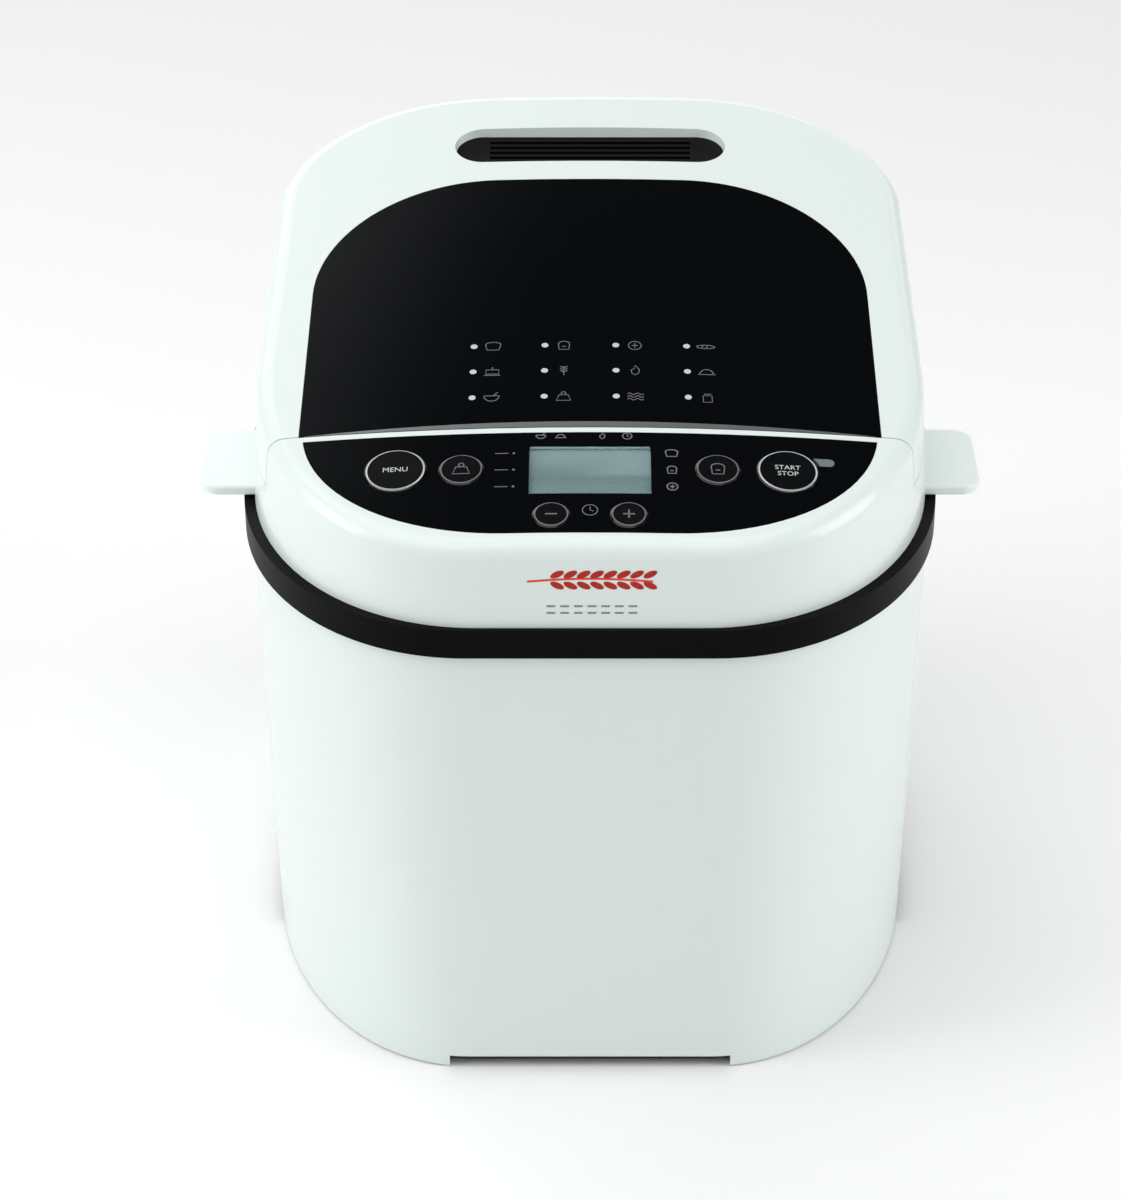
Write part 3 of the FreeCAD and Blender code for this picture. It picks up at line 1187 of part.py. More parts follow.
def make_kneading():
    """Paddle, its shaft and the coupler under the pan."""
    named(cylinder("shaft_radius", "pan_shaft_top - coupler_split", "0", "drive_back",
                   "coupler_split"), "pan_shaft")
    split = size("coupler_split")
    coupler = rod(size("coupler_radius"), 3, 0, 0, split)
    coupler = coupler.fuse(coupler_lugs(90, split - 7, split)).cut(rod(size("shaft_radius"), 20, 0, 0, split - 9))
    shaped("pan_coupler", coupler, drive_axis())
    hub, length = size("paddle_hub"), size("paddle_length")
    thick, height = size("paddle_thickness"), size("paddle_height")
    low = size("pan_bottom") + 4.5
    shell = Part.makeCone(hub + 1, hub - 1, size("pan_shaft_top") + 4 - low, Vector(0, 0, low))
    blade = block(0, length, -thick / 2, thick / 2, low, low + height)
    sweep = rod(length, height + 2, 0, 0, low - 1)
    slope = Part.makeCone(length + 22, 4, 66, Vector(0, 0, low - 1))
    blade = blade.common(sweep).common(slope)
    paddle = shell.fuse(blade).cut(rod(size("shaft_radius"), size("pan_shaft_top") - low, 0, 0, low))
    shaped("kneading_paddle", paddle.removeSplitter(), drive_axis())


# ---------------------------------------------------------------- build, check, export

def build():
    """Make every sub-part."""
    fill_sheet()
    form = upper_form(0, size("shoulder_radius"))
    core = upper_form(size("skin_thickness"), size("shoulder_radius - skin_thickness"))
    make_base_plate()
    make_rubber_feet()
    make_base_screws()
    make_lower_shell()
    make_black_band()
    make_upper_housing(form, core)
    make_side_handle("side_handle_right", "handle_inner", "handle_outer")
    make_side_handle("side_handle_left", "-handle_outer", "-handle_inner")
    make_control_fascia()
    make_display()
    make_indicator_lens()
    make_control_board()
    for name, _, _, _ in BUTTONS:
        make_button(name)
    make_lid_cover(form, core)
    make_lid_panels()
    make_vent_grille()
    make_lid_liner()
    make_lid_seal()
    make_hinge_pins()
    make_chassis()
    make_drive_bearing()
    make_drive()
    make_motor()
    make_belt()
    make_electrics()
    make_oven_chamber()
    make_heater()
    make_oven_fittings()
    make_bread_pan()
    make_pan_fittings()
    make_pan_handle()
    make_kneading()


def check():
    """Stop on any failed object or bad shape."""
    doc.recompute()
    for item in doc.Objects:
        if "Invalid" in item.State or "Error" in item.State:
            raise RuntimeError(f"{item.Label} failed: {item.State}")
    for piece in pieces:
        if piece.Shape.isNull() or not piece.Shape.isValid():
            raise RuntimeError(f"{piece.Label} has no valid shape")


def export():
    """Write each sub-part to its own file."""
    os.makedirs("parts", exist_ok=True)
    for piece in pieces:
        piece.Shape.exportStep(f"parts/{piece.Label}.step")
        solids = len(piece.Shape.Solids)
        print(f"{piece.Label}: {solids} solid(s), {piece.Shape.Volume / 1000:.2f} cm3")


build()
check()
export()
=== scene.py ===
import math

import bmesh
import bpy
from bpy.props import FloatProperty, FloatVectorProperty, IntProperty, PointerProperty
from mathutils import Matrix, Vector


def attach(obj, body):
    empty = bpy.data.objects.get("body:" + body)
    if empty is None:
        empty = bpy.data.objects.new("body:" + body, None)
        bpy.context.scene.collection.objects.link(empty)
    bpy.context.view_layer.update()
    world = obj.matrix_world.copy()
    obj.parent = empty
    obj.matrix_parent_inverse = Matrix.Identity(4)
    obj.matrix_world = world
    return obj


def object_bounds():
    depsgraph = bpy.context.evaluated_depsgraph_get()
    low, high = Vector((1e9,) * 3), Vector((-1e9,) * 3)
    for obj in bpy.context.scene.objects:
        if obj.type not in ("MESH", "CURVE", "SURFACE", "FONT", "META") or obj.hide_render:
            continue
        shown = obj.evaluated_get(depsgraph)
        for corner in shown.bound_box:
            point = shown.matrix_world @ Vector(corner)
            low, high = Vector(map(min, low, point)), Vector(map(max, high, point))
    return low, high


bl_info = {
    "name": "Bread machine finishes",
    "version": (1, 0, 0),
    "blender": (4, 5, 0),
    "location": "3D View > Sidebar > Bread machine",
    "description": "Finishes, panel prints, studio and lights for a compact bread machine",
    "category": "Object",
}

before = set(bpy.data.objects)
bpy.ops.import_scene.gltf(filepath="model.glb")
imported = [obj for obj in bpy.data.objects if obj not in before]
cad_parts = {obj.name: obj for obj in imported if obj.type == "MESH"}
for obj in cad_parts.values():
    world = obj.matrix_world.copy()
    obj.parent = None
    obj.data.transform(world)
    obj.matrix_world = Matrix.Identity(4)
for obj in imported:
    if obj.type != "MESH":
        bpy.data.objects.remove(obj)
CAD_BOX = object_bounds()

MILLIMETRE = 0.001
LEVEL = (0.0, 0.0, 0.0)
UPRIGHT = (math.radians(90), 0.0, 0.0)

# The ways in which a mark is laid on a solid, and the height or depth, in metres, that it starts from.
DOWN = Vector((0.0, 0.0, -1.0))
BACKWARD = Vector((0.0, 1.0, 0.0))
ABOVE = 0.34
IN_FRONT = -0.2


# ---------------------------------------------------------------- settings


def colour_property(name, description, default):
    """A linear colour setting."""
    return FloatVectorProperty(name=name, description=description, default=default, size=3,
                               min=0.0, max=1.0, subtype="COLOR")


def length_property(name, description, default):
    """A length setting in metres."""
    return FloatProperty(name=name, description=description, default=default, min=0.0,
                         subtype="DISTANCE", unit="LENGTH", precision=5)


class BREAD_PG_colours(bpy.types.PropertyGroup):
    """Colours of the moulded, printed and metal surfaces."""

    shell: colour_property("Shell", "White moulded housing and lid", (0.765, 0.845, 0.815))
    handle: colour_property("Handles", "White side handles", (0.77, 0.84, 0.82))
    panel: colour_property("Panels", "Gloss black panels", (0.0015, 0.0020, 0.0028))
    band: colour_property("Band", "Satin black ring between body and top", (0.0022, 0.0023, 0.0024))
    display: colour_property("Display", "Reflective display", (0.64, 0.86, 0.88))
    # The strip stands for the gloss black bevel at the lid's front edge; its silver colour is a painted
    # highlight of that bevel.
    silver_painted_highlight: colour_property("Silver", "Silver strip at the lid's front edge", (0.40, 0.415, 0.43))
    print_bright: colour_property("Bright print", "Rings and program lights", (0.55, 0.57, 0.58))
    print_dim: colour_property("Dim print", "Pictograms and legends", (0.13, 0.135, 0.14))
    badge: colour_property("Badge", "Ear of grain on the front", (0.80, 0.035, 0.02))
    badge_line: colour_property("Badge line", "Dashes under the badge", (0.20, 0.235, 0.25))


class BREAD_PG_sizes(bpy.types.PropertyGroup):
    """Sizes of the printed marks."""

    lift: length_property("Lift", "Height of a print above its surface", 0.00004)
    ink: length_property("Ink", "Thickness of a print", 0.00004)
    ring_line: length_property("Ring line", "Width of the ring on a button", 0.00062)
    thin_line: length_property("Thin line", "Width of a pictogram's line", 0.00038)
    light: length_property("Program light", "Radius of a program light", 0.00135)
    icon: length_property("Pictogram", "Half the width of a pictogram", 0.0031)
    column_pitch: length_property("Column pitch", "Distance between program columns", 0.0275)
    row_pitch: length_property("Row pitch", "Distance between program rows", 0.01515)
    columns: IntProperty(name="Columns", description="Program columns", default=4, min=2)
    rows: IntProperty(name="Rows", description="Program rows", default=3, min=2)


class BREAD_PG_stage(bpy.types.PropertyGroup):
    """Floor, lights and camera."""

    floor: colour_property("Floor", "Plain pale floor", (0.925, 0.925, 0.925))
    key: FloatProperty(name="Key", description="Power of the top light", default=30.0, unit="POWER")
    left: FloatProperty(name="Left", description="Power of the left light", default=12.5, unit="POWER")
    right: FloatProperty(name="Right", description="Power of the right light", default=13.5, unit="POWER")
    front: FloatProperty(name="Front", description="Power of the front fill", default=2.0, unit="POWER")
    rear: FloatProperty(name="Rear", description="Power over the floor behind", default=34.0, unit="POWER")
    air: FloatProperty(name="Air", description="Strength of the even light", default=0.33, min=0.0)
    lens: FloatProperty(name="Lens", description="Focal length", default=98.4, unit="CAMERA")
    pitch: FloatProperty(name="Pitch", description="Camera's angle below the horizon",
                         default=math.radians(31.4), subtype="ANGLE", unit="ROTATION")


def colours():
    """The colour settings."""
    return bpy.context.scene.bread_colours


def sizes():
    """The settings of the printed marks."""
    return bpy.context.scene.bread_sizes


def stage_settings():
    """The floor, light and camera settings."""
    return bpy.context.scene.bread_stage


# ---------------------------------------------------------------- shader groups


def shader_group(name, inputs, outputs):
    """A new shader node group with float, colour and vector sockets."""
    group = bpy.data.node_groups.new(name, "ShaderNodeTree")
    kinds = {"value": "NodeSocketFloat", "colour": "NodeSocketColor", "vector": "NodeSocketVector"}
    for label, kind, default in inputs:
        socket = group.interface.new_socket(label, in_out="INPUT", socket_type=kinds[kind])
        socket.default_value = default
    for label, kind in outputs:
        group.interface.new_socket(label, in_out="OUTPUT", socket_type=kinds[kind])
    entry = group.nodes.new("NodeGroupInput")
    entry.location = (-900, 0)
    leave = group.nodes.new("NodeGroupOutput")
    leave.location = (600, 0)
    return group, entry, leave


def node(tree, kind, place, **settings):
    """A node at a place with its settings made."""
    made = tree.nodes.new(kind)
    made.location = place
    for label, value in settings.items():
        setattr(made, label, value)
    return made


def math_node(tree, operation, place, value=None):
    """A math node, with a fixed second value if there is one."""
    made = node(tree, "ShaderNodeMath", place, operation=operation)
    if value is not None:
        made.inputs[1].default_value = value
    return made


def noise_at(tree, entry, scale_label, place, detail=3.0, stretch=None):
    """Noise on object coordinates at the group's scale input, stretched by a vector input."""
    where = node(tree, "ShaderNodeTexCoord", (place[0] - 400, place[1]))
    vector = where.outputs["Object"]
    if stretch:
        product = node(tree, "ShaderNodeVectorMath", (place[0] - 200, place[1]), operation="MULTIPLY")
        tree.links.new(vector, product.inputs[0])
        tree.links.new(entry.outputs[stretch], product.inputs[1])
        vector = product.outputs[0]
    made = node(tree, "ShaderNodeTexNoise", place)
    made.inputs["Detail"].default_value = detail
    tree.links.new(vector, made.inputs["Vector"])
    tree.links.new(entry.outputs[scale_label], made.inputs["Scale"])
    return made


def build_tone_group():
    """Slow lightening and darkening of a colour over a surface."""
    tree, entry, leave = shader_group(
        "tone", [("Colour", "colour", (1, 1, 1, 1)), ("Spread", "value", 0.05), ("Scale", "value", 8.0)],
        [("Colour", "colour")])
    noise = noise_at(tree, entry, "Scale", (-400, 100))
    centre = math_node(tree, "SUBTRACT", (-200, 100), 0.5)
    spread = math_node(tree, "MULTIPLY_ADD", (0, 100))
    spread.inputs[2].default_value = 1.0
    scale = node(tree, "ShaderNodeVectorMath", (250, 0), operation="SCALE")
    tree.links.new(noise.outputs[0], centre.inputs[0])
    tree.links.new(centre.outputs[0], spread.inputs[0])
    tree.links.new(entry.outputs["Spread"], spread.inputs[1])
    tree.links.new(entry.outputs["Colour"], scale.inputs[0])
    tree.links.new(spread.outputs[0], scale.inputs["Scale"])
    tree.links.new(scale.outputs[0], leave.inputs["Colour"])
    return tree


def build_handling_group():
    """Roughness with faint wiped patches, drawn out by a stretch."""
    tree, entry, leave = shader_group(
        "handling", [("Roughness", "value", 0.3), ("Spread", "value", 0.06), ("Scale", "value", 11.0),
                     ("Stretch", "vector", (1, 1, 1))],
        [("Roughness", "value")])
    patches = noise_at(tree, entry, "Scale", (-400, 150), 4.0, "Stretch")
    centre = math_node(tree, "SUBTRACT", (-200, 150), 0.5)
    spread = math_node(tree, "MULTIPLY", (0, 150))
    total = math_node(tree, "ADD", (200, 100))
    total.use_clamp = True
    tree.links.new(patches.outputs[0], centre.inputs[0])
    tree.links.new(centre.outputs[0], spread.inputs[0])
    tree.links.new(entry.outputs["Spread"], spread.inputs[1])
    tree.links.new(spread.outputs[0], total.inputs[0])
    tree.links.new(entry.outputs["Roughness"], total.inputs[1])
    tree.links.new(total.outputs[0], leave.inputs["Roughness"])
    return tree


def build_grain_group():
    """Fine surface relief, even or drawn out in one direction."""
    tree, entry, leave = shader_group(
        "grain", [("Scale", "value", 900.0), ("Depth", "value", 0.05), ("Distance", "value", 0.0002),
                  ("Stretch", "vector", (1, 1, 1))],
        [("Normal", "vector")])
    noise = noise_at(tree, entry, "Scale", (-400, 0), 2.0, "Stretch")
    bump = node(tree, "ShaderNodeBump", (200, 0))
    tree.links.new(noise.outputs[0], bump.inputs["Height"])
    tree.links.new(entry.outputs["Depth"], bump.inputs["Strength"])
    tree.links.new(entry.outputs["Distance"], bump.inputs["Distance"])
    tree.links.new(bump.outputs[0], leave.inputs["Normal"])
    return tree


def build_fleck_group():
    """Small flecks of a second colour strewn over the first."""
    tree, entry, leave = shader_group(
        "flecks", [("Colour", "colour", (0, 0, 0, 1)), ("Fleck", "colour", (1, 1, 1, 1)),
                   ("Scale", "value", 700.0), ("Amount", "value", 0.35)],
        [("Colour", "colour")])
    where = node(tree, "ShaderNodeTexCoord", (-700, -100))
    cells = node(tree, "ShaderNodeTexVoronoi", (-500, -100))
    near = math_node(tree, "LESS_THAN", (-250, -100))
    mix = node(tree, "ShaderNodeMix", (200, 0), data_type="RGBA")
    tree.links.new(where.outputs["Object"], cells.inputs["Vector"])
    tree.links.new(entry.outputs["Scale"], cells.inputs["Scale"])
    tree.links.new(cells.outputs["Distance"], near.inputs[0])
    tree.links.new(entry.outputs["Amount"], near.inputs[1])
    tree.links.new(near.outputs[0], mix.inputs["Factor"])
    tree.links.new(entry.outputs["Colour"], mix.inputs["A"])
    tree.links.new(entry.outputs["Fleck"], mix.inputs["B"])
    tree.links.new(mix.outputs["Result"], leave.inputs["Colour"])
    return tree


GROUP_BUILDERS = {"tone": build_tone_group, "handling": build_handling_group,
                  "grain": build_grain_group, "flecks": build_fleck_group}


def place_group(tree, name, place, values):
    """A shader group placed in a material with its own values."""
    group = bpy.data.node_groups.get(name) or GROUP_BUILDERS[name]()
    made = node(tree, "ShaderNodeGroup", place)
    made.node_tree = group
    for label, value in values.items():
        made.inputs[label].default_value = value
    return made


# ---------------------------------------------------------------- materials


def opaque(colour):
    """A colour with full alpha."""
    return (colour[0], colour[1], colour[2], 1.0)


def finish(name, colour, roughness, *, tone=0.04, tone_scale=9.0, wipe=0.05, wipe_scale=13.0,
           grain=0.04, grain_scale=900.0, grain_distance=0.0002, stretch=(1, 1, 1),
           fleck=None, fleck_scale=700.0, fleck_amount=0.3, uniform=None):
    """A material with slow colour change, wiped roughness and fine relief."""
    material = bpy.data.materials.new(name)
    material.use_nodes = True
    tree = material.node_tree
    tree.nodes.clear()
    shader = node(tree, "ShaderNodeBsdfPrincipled", (300, 0))
    output = node(tree, "ShaderNodeOutputMaterial", (600, 0))
    tree.links.new(shader.outputs[0], output.inputs[0])
    tinted = place_group(tree, "tone", (-100, 200),
                         {"Colour": opaque(colour), "Spread": tone, "Scale": tone_scale})
    if fleck:
        flecks = place_group(tree, "flecks", (-350, 200), {
            "Colour": opaque(colour), "Fleck": opaque(fleck), "Scale": fleck_scale,
            "Amount": fleck_amount})
        tree.links.new(flecks.outputs[0], tinted.inputs["Colour"])
    wiped = place_group(tree, "handling", (-100, -50), {
        "Roughness": roughness, "Spread": wipe, "Scale": wipe_scale, "Stretch": stretch})
    relief = place_group(tree, "grain", (-100, -300), {
        "Scale": grain_scale, "Depth": grain, "Distance": grain_distance, "Stretch": stretch})
    tree.links.new(tinted.outputs[0], shader.inputs["Base Color"])
    tree.links.new(wiped.outputs[0], shader.inputs["Roughness"])
    tree.links.new(relief.outputs[0], shader.inputs["Normal"])
    for label, value in (uniform or {}).items():
        shader.inputs[label].default_value = value
    return material


def coat_node(name, material):
    """Give a carried-over solid its finish."""
    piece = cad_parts[name]
    for slot in piece.material_slots:
        slot.material = material
    if not piece.material_slots:
        piece.data.materials.append(material)


def coat_nodes(names, material):
    """Give several solids one finish."""
    for name in names:
        coat_node(name, material)


# ---------------------------------------------------------------- flat marks


def ribbon(mesh, points, width, closed=False):
    """Add a flat line of one width through points to a mesh being built."""
    count = len(points)
    pairs = []
    for index, point in enumerate(points):
        before = points[index - 1] if closed or index else point
        after = points[(index + 1) % count] if closed or index < count - 1 else point
        along = (Vector(after) - Vector(before)).normalized()
        side = Vector((-along.y, along.x)) * (width / 2)
        left = mesh.verts.new((point[0] + side.x, point[1] + side.y, 0))
        right = mesh.verts.new((point[0] - side.x, point[1] - side.y, 0))
        pairs.append((left, right))
    if closed:
        pairs.append(pairs[0])
    for (left, right), (next_left, next_right) in zip(pairs, pairs[1:]):
        mesh.faces.new((right, next_right, next_left, left))


def dot(mesh, x, y, radius, sides=20):
    """Add a flat disc."""
    ring = arc_points(x, y, radius, radius, 0, 360, sides)[:-1]
    mesh.faces.new([mesh.verts.new((px, py, 0)) for px, py in ring])


def arc_points(x, y, radius_x, radius_y, start, end, steps=16):
    """Points along an elliptical arc, angles in degrees."""
    points = []
    for step in range(steps + 1):
        angle = math.radians(start + (end - start) * step / steps)
        points.append((x + radius_x * math.cos(angle), y + radius_y * math.sin(angle)))
    return points


def circle_line(x, y, radius, steps=48):
    """A closed circle's points."""
    return arc_points(x, y, radius, radius, 0, 360, steps)[:-1]


def loaf():
    """A tin loaf."""
    crown = arc_points(0, 0.35, 0.95, 0.45, 0, 180, 10)
    return [(crown + [(-0.75, -0.7), (0.75, -0.7)], True)]


def slice_of_bread():
    """A slice with its crumb mark."""
    crown = arc_points(0, 0.3, 0.7, 0.5, 0, 180, 10)
    return [(crown + [(-0.6, -0.8), (0.6, -0.8)], True), ([(-0.25, -0.2), (0.25, -0.2)], False)]


def baguette():
    """A long thin loaf with cuts."""
    body = arc_points(0, 0, 1.15, 0.33, 0, 360, 20)[:-1]
    return [(body, True), ([(-0.5, -0.2), (-0.3, 0.25)], False), ([(0.05, -0.2), (0.25, 0.25)], False)]


def grain_ear():
    """An upright ear of grain."""
    lines = [([(0, -0.9), (0, 0.8)], False)]
    for level in (-0.1, 0.3, 0.7):
        lines.append(([(0, level - 0.25), (0.45, level + 0.1)], False))
        lines.append(([(0, level - 0.25), (-0.45, level + 0.1)], False))
    return lines


def round_loaf():
    """A round loaf with a cross cut."""
    return [(circle_line(0, 0, 0.8, 20), True),
            ([(-0.4, 0), (0.4, 0)], False), ([(0, -0.4), (0, 0.4)], False)]


def cake():
    """A cake on its board."""
    return [([(-0.8, -0.5), (-0.8, 0.3), (0.8, 0.3), (0.8, -0.5)], True),
            ([(-1.0, -0.75), (1.0, -0.75)], False), ([(0, 0.3), (0, 0.8)], False)]


def jar():
    """A jar with a lid."""
    return [([(-0.55, -0.8), (-0.55, 0.4), (0.55, 0.4), (0.55, -0.8)], True),
            ([(-0.45, 0.7), (0.45, 0.7)], False)]


def dough_ball():
    """Dough on the table."""
    return [(arc_points(0, -0.5, 0.85, 0.95, 0, 180, 12), False), ([(-1.1, -0.5), (1.1, -0.5)], False)]


def noodles():
    """Three wavy strips."""
    waves = []
    for level in (-0.5, 0, 0.5):
        line = [(-1 + step / 6, level + 0.16 * math.sin(step * math.pi / 3)) for step in range(13)]
        waves.append((line, False))
    return waves


def bowl():
    """A mixing bowl."""
    return [(arc_points(0, 0.3, 0.95, 1.0, 180, 360, 12), True), ([(0.2, 0.3), (0.75, 0.95)], False)]


def flame():
    """A small flame."""
    return [([(0, 0.95), (0.5, 0.2), (0.42, -0.5), (0, -0.85),
              (-0.42, -0.5), (-0.5, 0.1), (-0.15, 0.3)], True)]


def clock():
    """A clock face with hands."""
    return [(circle_line(0, 0, 0.9, 24), True), ([(0, 0.55), (0, 0), (0.4, -0.2)], False)]


def scales():
    """A kitchen weight."""
    return [([(-0.55, 0.3), (0.55, 0.3), (0.9, -0.75), (-0.9, -0.75)], True),
            (circle_line(0, 0.6, 0.28, 12), True)]


def minus_sign():
    """A level stroke."""
    return [([(-0.75, 0), (0.75, 0)], False)]


def plus_sign():
    """A level stroke crossed by an upright one."""
    return minus_sign() + [([(0, -0.75), (0, 0.75)], False)]


PROGRAM_ICONS = (
    (loaf, slice_of_bread, round_loaf, baguette),
    (cake, grain_ear, flame, dough_ball),
    (bowl, scales, noodles, jar),
)


def add_icon(mesh, icon, x, y, half, width):
    """Add a pictogram's lines at a place."""
    for points, closed in icon():
        placed = [(x + px * half, y + py * half) for px, py in points]
        ribbon(mesh, placed, width, closed)


def flat_object(name, build):
    """A new flat mesh object drawn by a function."""
    draft = bmesh.new()
    build(draft)
    mesh = bpy.data.meshes.new(name)
    draft.to_mesh(mesh)
    draft.free()
    made = bpy.data.objects.new(name, mesh)
    bpy.context.scene.collection.objects.link(made)
    return made


def words(name, text, height):
    """Flat lettering as a mesh object, centred on its own origin."""
    curve = bpy.data.curves.new(name + "_letters", "FONT")
    curve.body = text
    curve.size = height
    curve.align_x = "CENTER"
    curve.align_y = "CENTER"
    curve.resolution_u = 3
    source = bpy.data.objects.new(name + "_source", curve)
    bpy.context.scene.collection.objects.link(source)
    bpy.context.view_layer.update()
    mesh = bpy.data.meshes.new_from_object(source)
    bpy.data.objects.remove(source)
    made = bpy.data.objects.new(name, mesh)
    bpy.context.scene.collection.objects.link(made)
    return made


# ---------------------------------------------------------------- geometry nodes


def geometry_tree(name, inputs):
    """A geometry tree with named inputs; returns the tree and its end nodes."""
    tree = bpy.data.node_groups.new(name, "GeometryNodeTree")
    tree.interface.new_socket("Geometry", in_out="INPUT", socket_type="NodeSocketGeometry")
    for label, kind in inputs:
        tree.interface.new_socket(label, in_out="INPUT", socket_type=kind)
    tree.interface.new_socket("Geometry", in_out="OUTPUT", socket_type="NodeSocketGeometry")
    return tree, node(tree, "NodeGroupInput", (-900, 0)), node(tree, "NodeGroupOutput", (900, 0))


def lay_down(tree, entry, geometry):
    """Drop every point along a direction onto the surface below, with a small lift."""
    target = node(tree, "GeometryNodeObjectInfo", (-500, -300))
    position = node(tree, "GeometryNodeInputPosition", (-500, -500))
    ray = node(tree, "GeometryNodeRaycast", (-200, -300))
    ray.inputs["Ray Length"].default_value = 1.0
    lift = node(tree, "ShaderNodeVectorMath", (0, -300), operation="MULTIPLY_ADD")
    move = node(tree, "GeometryNodeSetPosition", (200, 0))
    opposite = node(tree, "ShaderNodeVectorMath", (-200, -600), operation="SCALE")
    opposite.inputs["Scale"].default_value = -1.0
    tree.links.new(entry.outputs["Surface"], target.inputs["Object"])
    tree.links.new(target.outputs["Geometry"], ray.inputs["Target Geometry"])
    tree.links.new(position.outputs[0], ray.inputs["Source Position"])
    tree.links.new(entry.outputs["Direction"], ray.inputs["Ray Direction"])
    tree.links.new(entry.outputs["Direction"], opposite.inputs[0])
    tree.links.new(opposite.outputs[0], lift.inputs[0])
    tree.links.new(entry.outputs["Lift"], lift.inputs[1])
    tree.links.new(ray.outputs["Hit Position"], lift.inputs[2])
    tree.links.new(geometry, move.inputs["Geometry"])
    tree.links.new(lift.outputs[0], move.inputs["Position"])
    return move.outputs["Geometry"]


def close_tree(tree, entry, leave, geometry):
    """End a tree in Realize Instances and Set Material."""
    realize = node(tree, "GeometryNodeRealizeInstances", (450, 0))
    paint = node(tree, "GeometryNodeSetMaterial", (650, 0))
    tree.links.new(geometry, realize.inputs[0])
    tree.links.new(realize.outputs[0], paint.inputs["Geometry"])
    tree.links.new(entry.outputs["Material"], paint.inputs["Material"])
    tree.links.new(paint.outputs["Geometry"], leave.inputs[0])


LAYING_INPUTS = [("Surface", "NodeSocketObject"), ("Direction", "NodeSocketVector"),
                 ("Lift", "NodeSocketVector"), ("Material", "NodeSocketMaterial")]


def build_print_tree():
    """A flat mark laid on a curved surface."""
    tree, entry, leave = geometry_tree("laid_print", LAYING_INPUTS)
    close_tree(tree, entry, leave, lay_down(tree, entry, entry.outputs["Geometry"]))
    return tree


def build_row_tree():
    """Copies of a flat mark in rows and columns, laid on a curved surface."""
    extra = [("Columns", "NodeSocketInt"), ("Rows", "NodeSocketInt"), ("Width", "NodeSocketFloat"),
             ("Depth", "NodeSocketFloat"), ("Place", "NodeSocketVector"), ("Turn", "NodeSocketVector"),
             ("Tilt", "NodeSocketVector")]
    tree, entry, leave = geometry_tree("rows_of_prints", LAYING_INPUTS + extra)
    grid = node(tree, "GeometryNodeMeshGrid", (-600, 200))
    copies = node(tree, "GeometryNodeInstanceOnPoints", (-350, 200))
    shift = node(tree, "GeometryNodeTransform", (-150, 200))
    spread = node(tree, "GeometryNodeRealizeInstances", (50, 200))
    tree.links.new(entry.outputs["Columns"], grid.inputs["Vertices X"])
    tree.links.new(entry.outputs["Rows"], grid.inputs["Vertices Y"])
    tree.links.new(entry.outputs["Width"], grid.inputs["Size X"])
    tree.links.new(entry.outputs["Depth"], grid.inputs["Size Y"])
    tree.links.new(grid.outputs["Mesh"], copies.inputs["Points"])
    tree.links.new(entry.outputs["Geometry"], copies.inputs["Instance"])
    tree.links.new(entry.outputs["Tilt"], copies.inputs["Rotation"])
    tree.links.new(copies.outputs[0], shift.inputs["Geometry"])
    tree.links.new(entry.outputs["Place"], shift.inputs["Translation"])
    tree.links.new(entry.outputs["Turn"], shift.inputs["Rotation"])
    tree.links.new(shift.outputs[0], spread.inputs[0])
    close_tree(tree, entry, leave, lay_down(tree, entry, spread.outputs[0]))
    return tree


TREE_BUILDERS = {"laid_print": build_print_tree, "rows_of_prints": build_row_tree}


def run_tree(piece, tree_name, values):
    """Run a geometry tree on a piece and keep the plain mesh that it makes."""
    tree = bpy.data.node_groups.get(tree_name) or TREE_BUILDERS[tree_name]()
    modifier = piece.modifiers.new(tree_name, "NODES")
    modifier.node_group = tree
    for socket in tree.interface.items_tree:
        if socket.item_type == "SOCKET" and socket.in_out == "INPUT" and socket.name in values:
            modifier[socket.identifier] = values[socket.name]
    bpy.context.view_layer.update()
    evaluated = piece.evaluated_get(bpy.context.evaluated_depsgraph_get())
    mesh = bpy.data.meshes.new_from_object(evaluated)
    piece.modifiers.clear()
    piece.data = mesh
    return piece


def lay_print(piece, surface, material, body, slot, direction=DOWN, tree="laid_print", **more):
    """Lay a flat mark on a solid, give it ink thickness, and let it move with a body."""
    values = {"Surface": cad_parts[surface], "Direction": tuple(direction),
              "Lift": (sizes().lift,) * 3, "Material": material}
    values.update(more)
    run_tree(piece, tree, values)
    ink = piece.modifiers.new("ink", "SOLIDIFY")
    ink.thickness = sizes().ink
    ink.offset = 1.0
    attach(piece, body)
    return piece


def shift_mesh(piece, matrix):
    """Move a piece's own mesh."""
    piece.data.transform(matrix)
    return piece


def drop_place(x, y):
    """A matrix above a place on the top."""
    return Matrix.Translation((x * MILLIMETRE, y * MILLIMETRE, ABOVE))


# ---------------------------------------------------------------- finishes by group


class BREAD_OT_outer_finish(bpy.types.Operator):
    """Finish the white housing, lid and handles and the black ring"""

    bl_idname = "bread.outer_finish"
    bl_label = "Finish outer body"

    def execute(self, context):
        shell = finish("white_moulding", colours().shell, 0.36, tone=0.012, tone_scale=5.0, wipe=0.02,
                       grain=0.012, grain_scale=300.0, grain_distance=0.0003,
                       uniform={"Coat Weight": 0.4, "Coat Roughness": 0.08, "Specular IOR Level": 0.4})
        handle = finish("white_handle_moulding", colours().handle, 0.36, tone=0.02, wipe=0.07, grain=0.03,
                        grain_scale=1300.0, uniform={"Specular IOR Level": 0.45})
        band = finish("satin_black_ring", colours().band, 0.42, tone=0.10, wipe=0.10, grain=0.05,
                      grain_scale=1800.0, uniform={"Specular IOR Level": 0.05})
        coat_nodes(("lower_shell", "rear_panel", "upper_housing", "lid_cover"), shell)
        coat_nodes(("side_handle_left", "side_handle_right"), handle)
        coat_node("black_band", band)
        return {"FINISHED"}


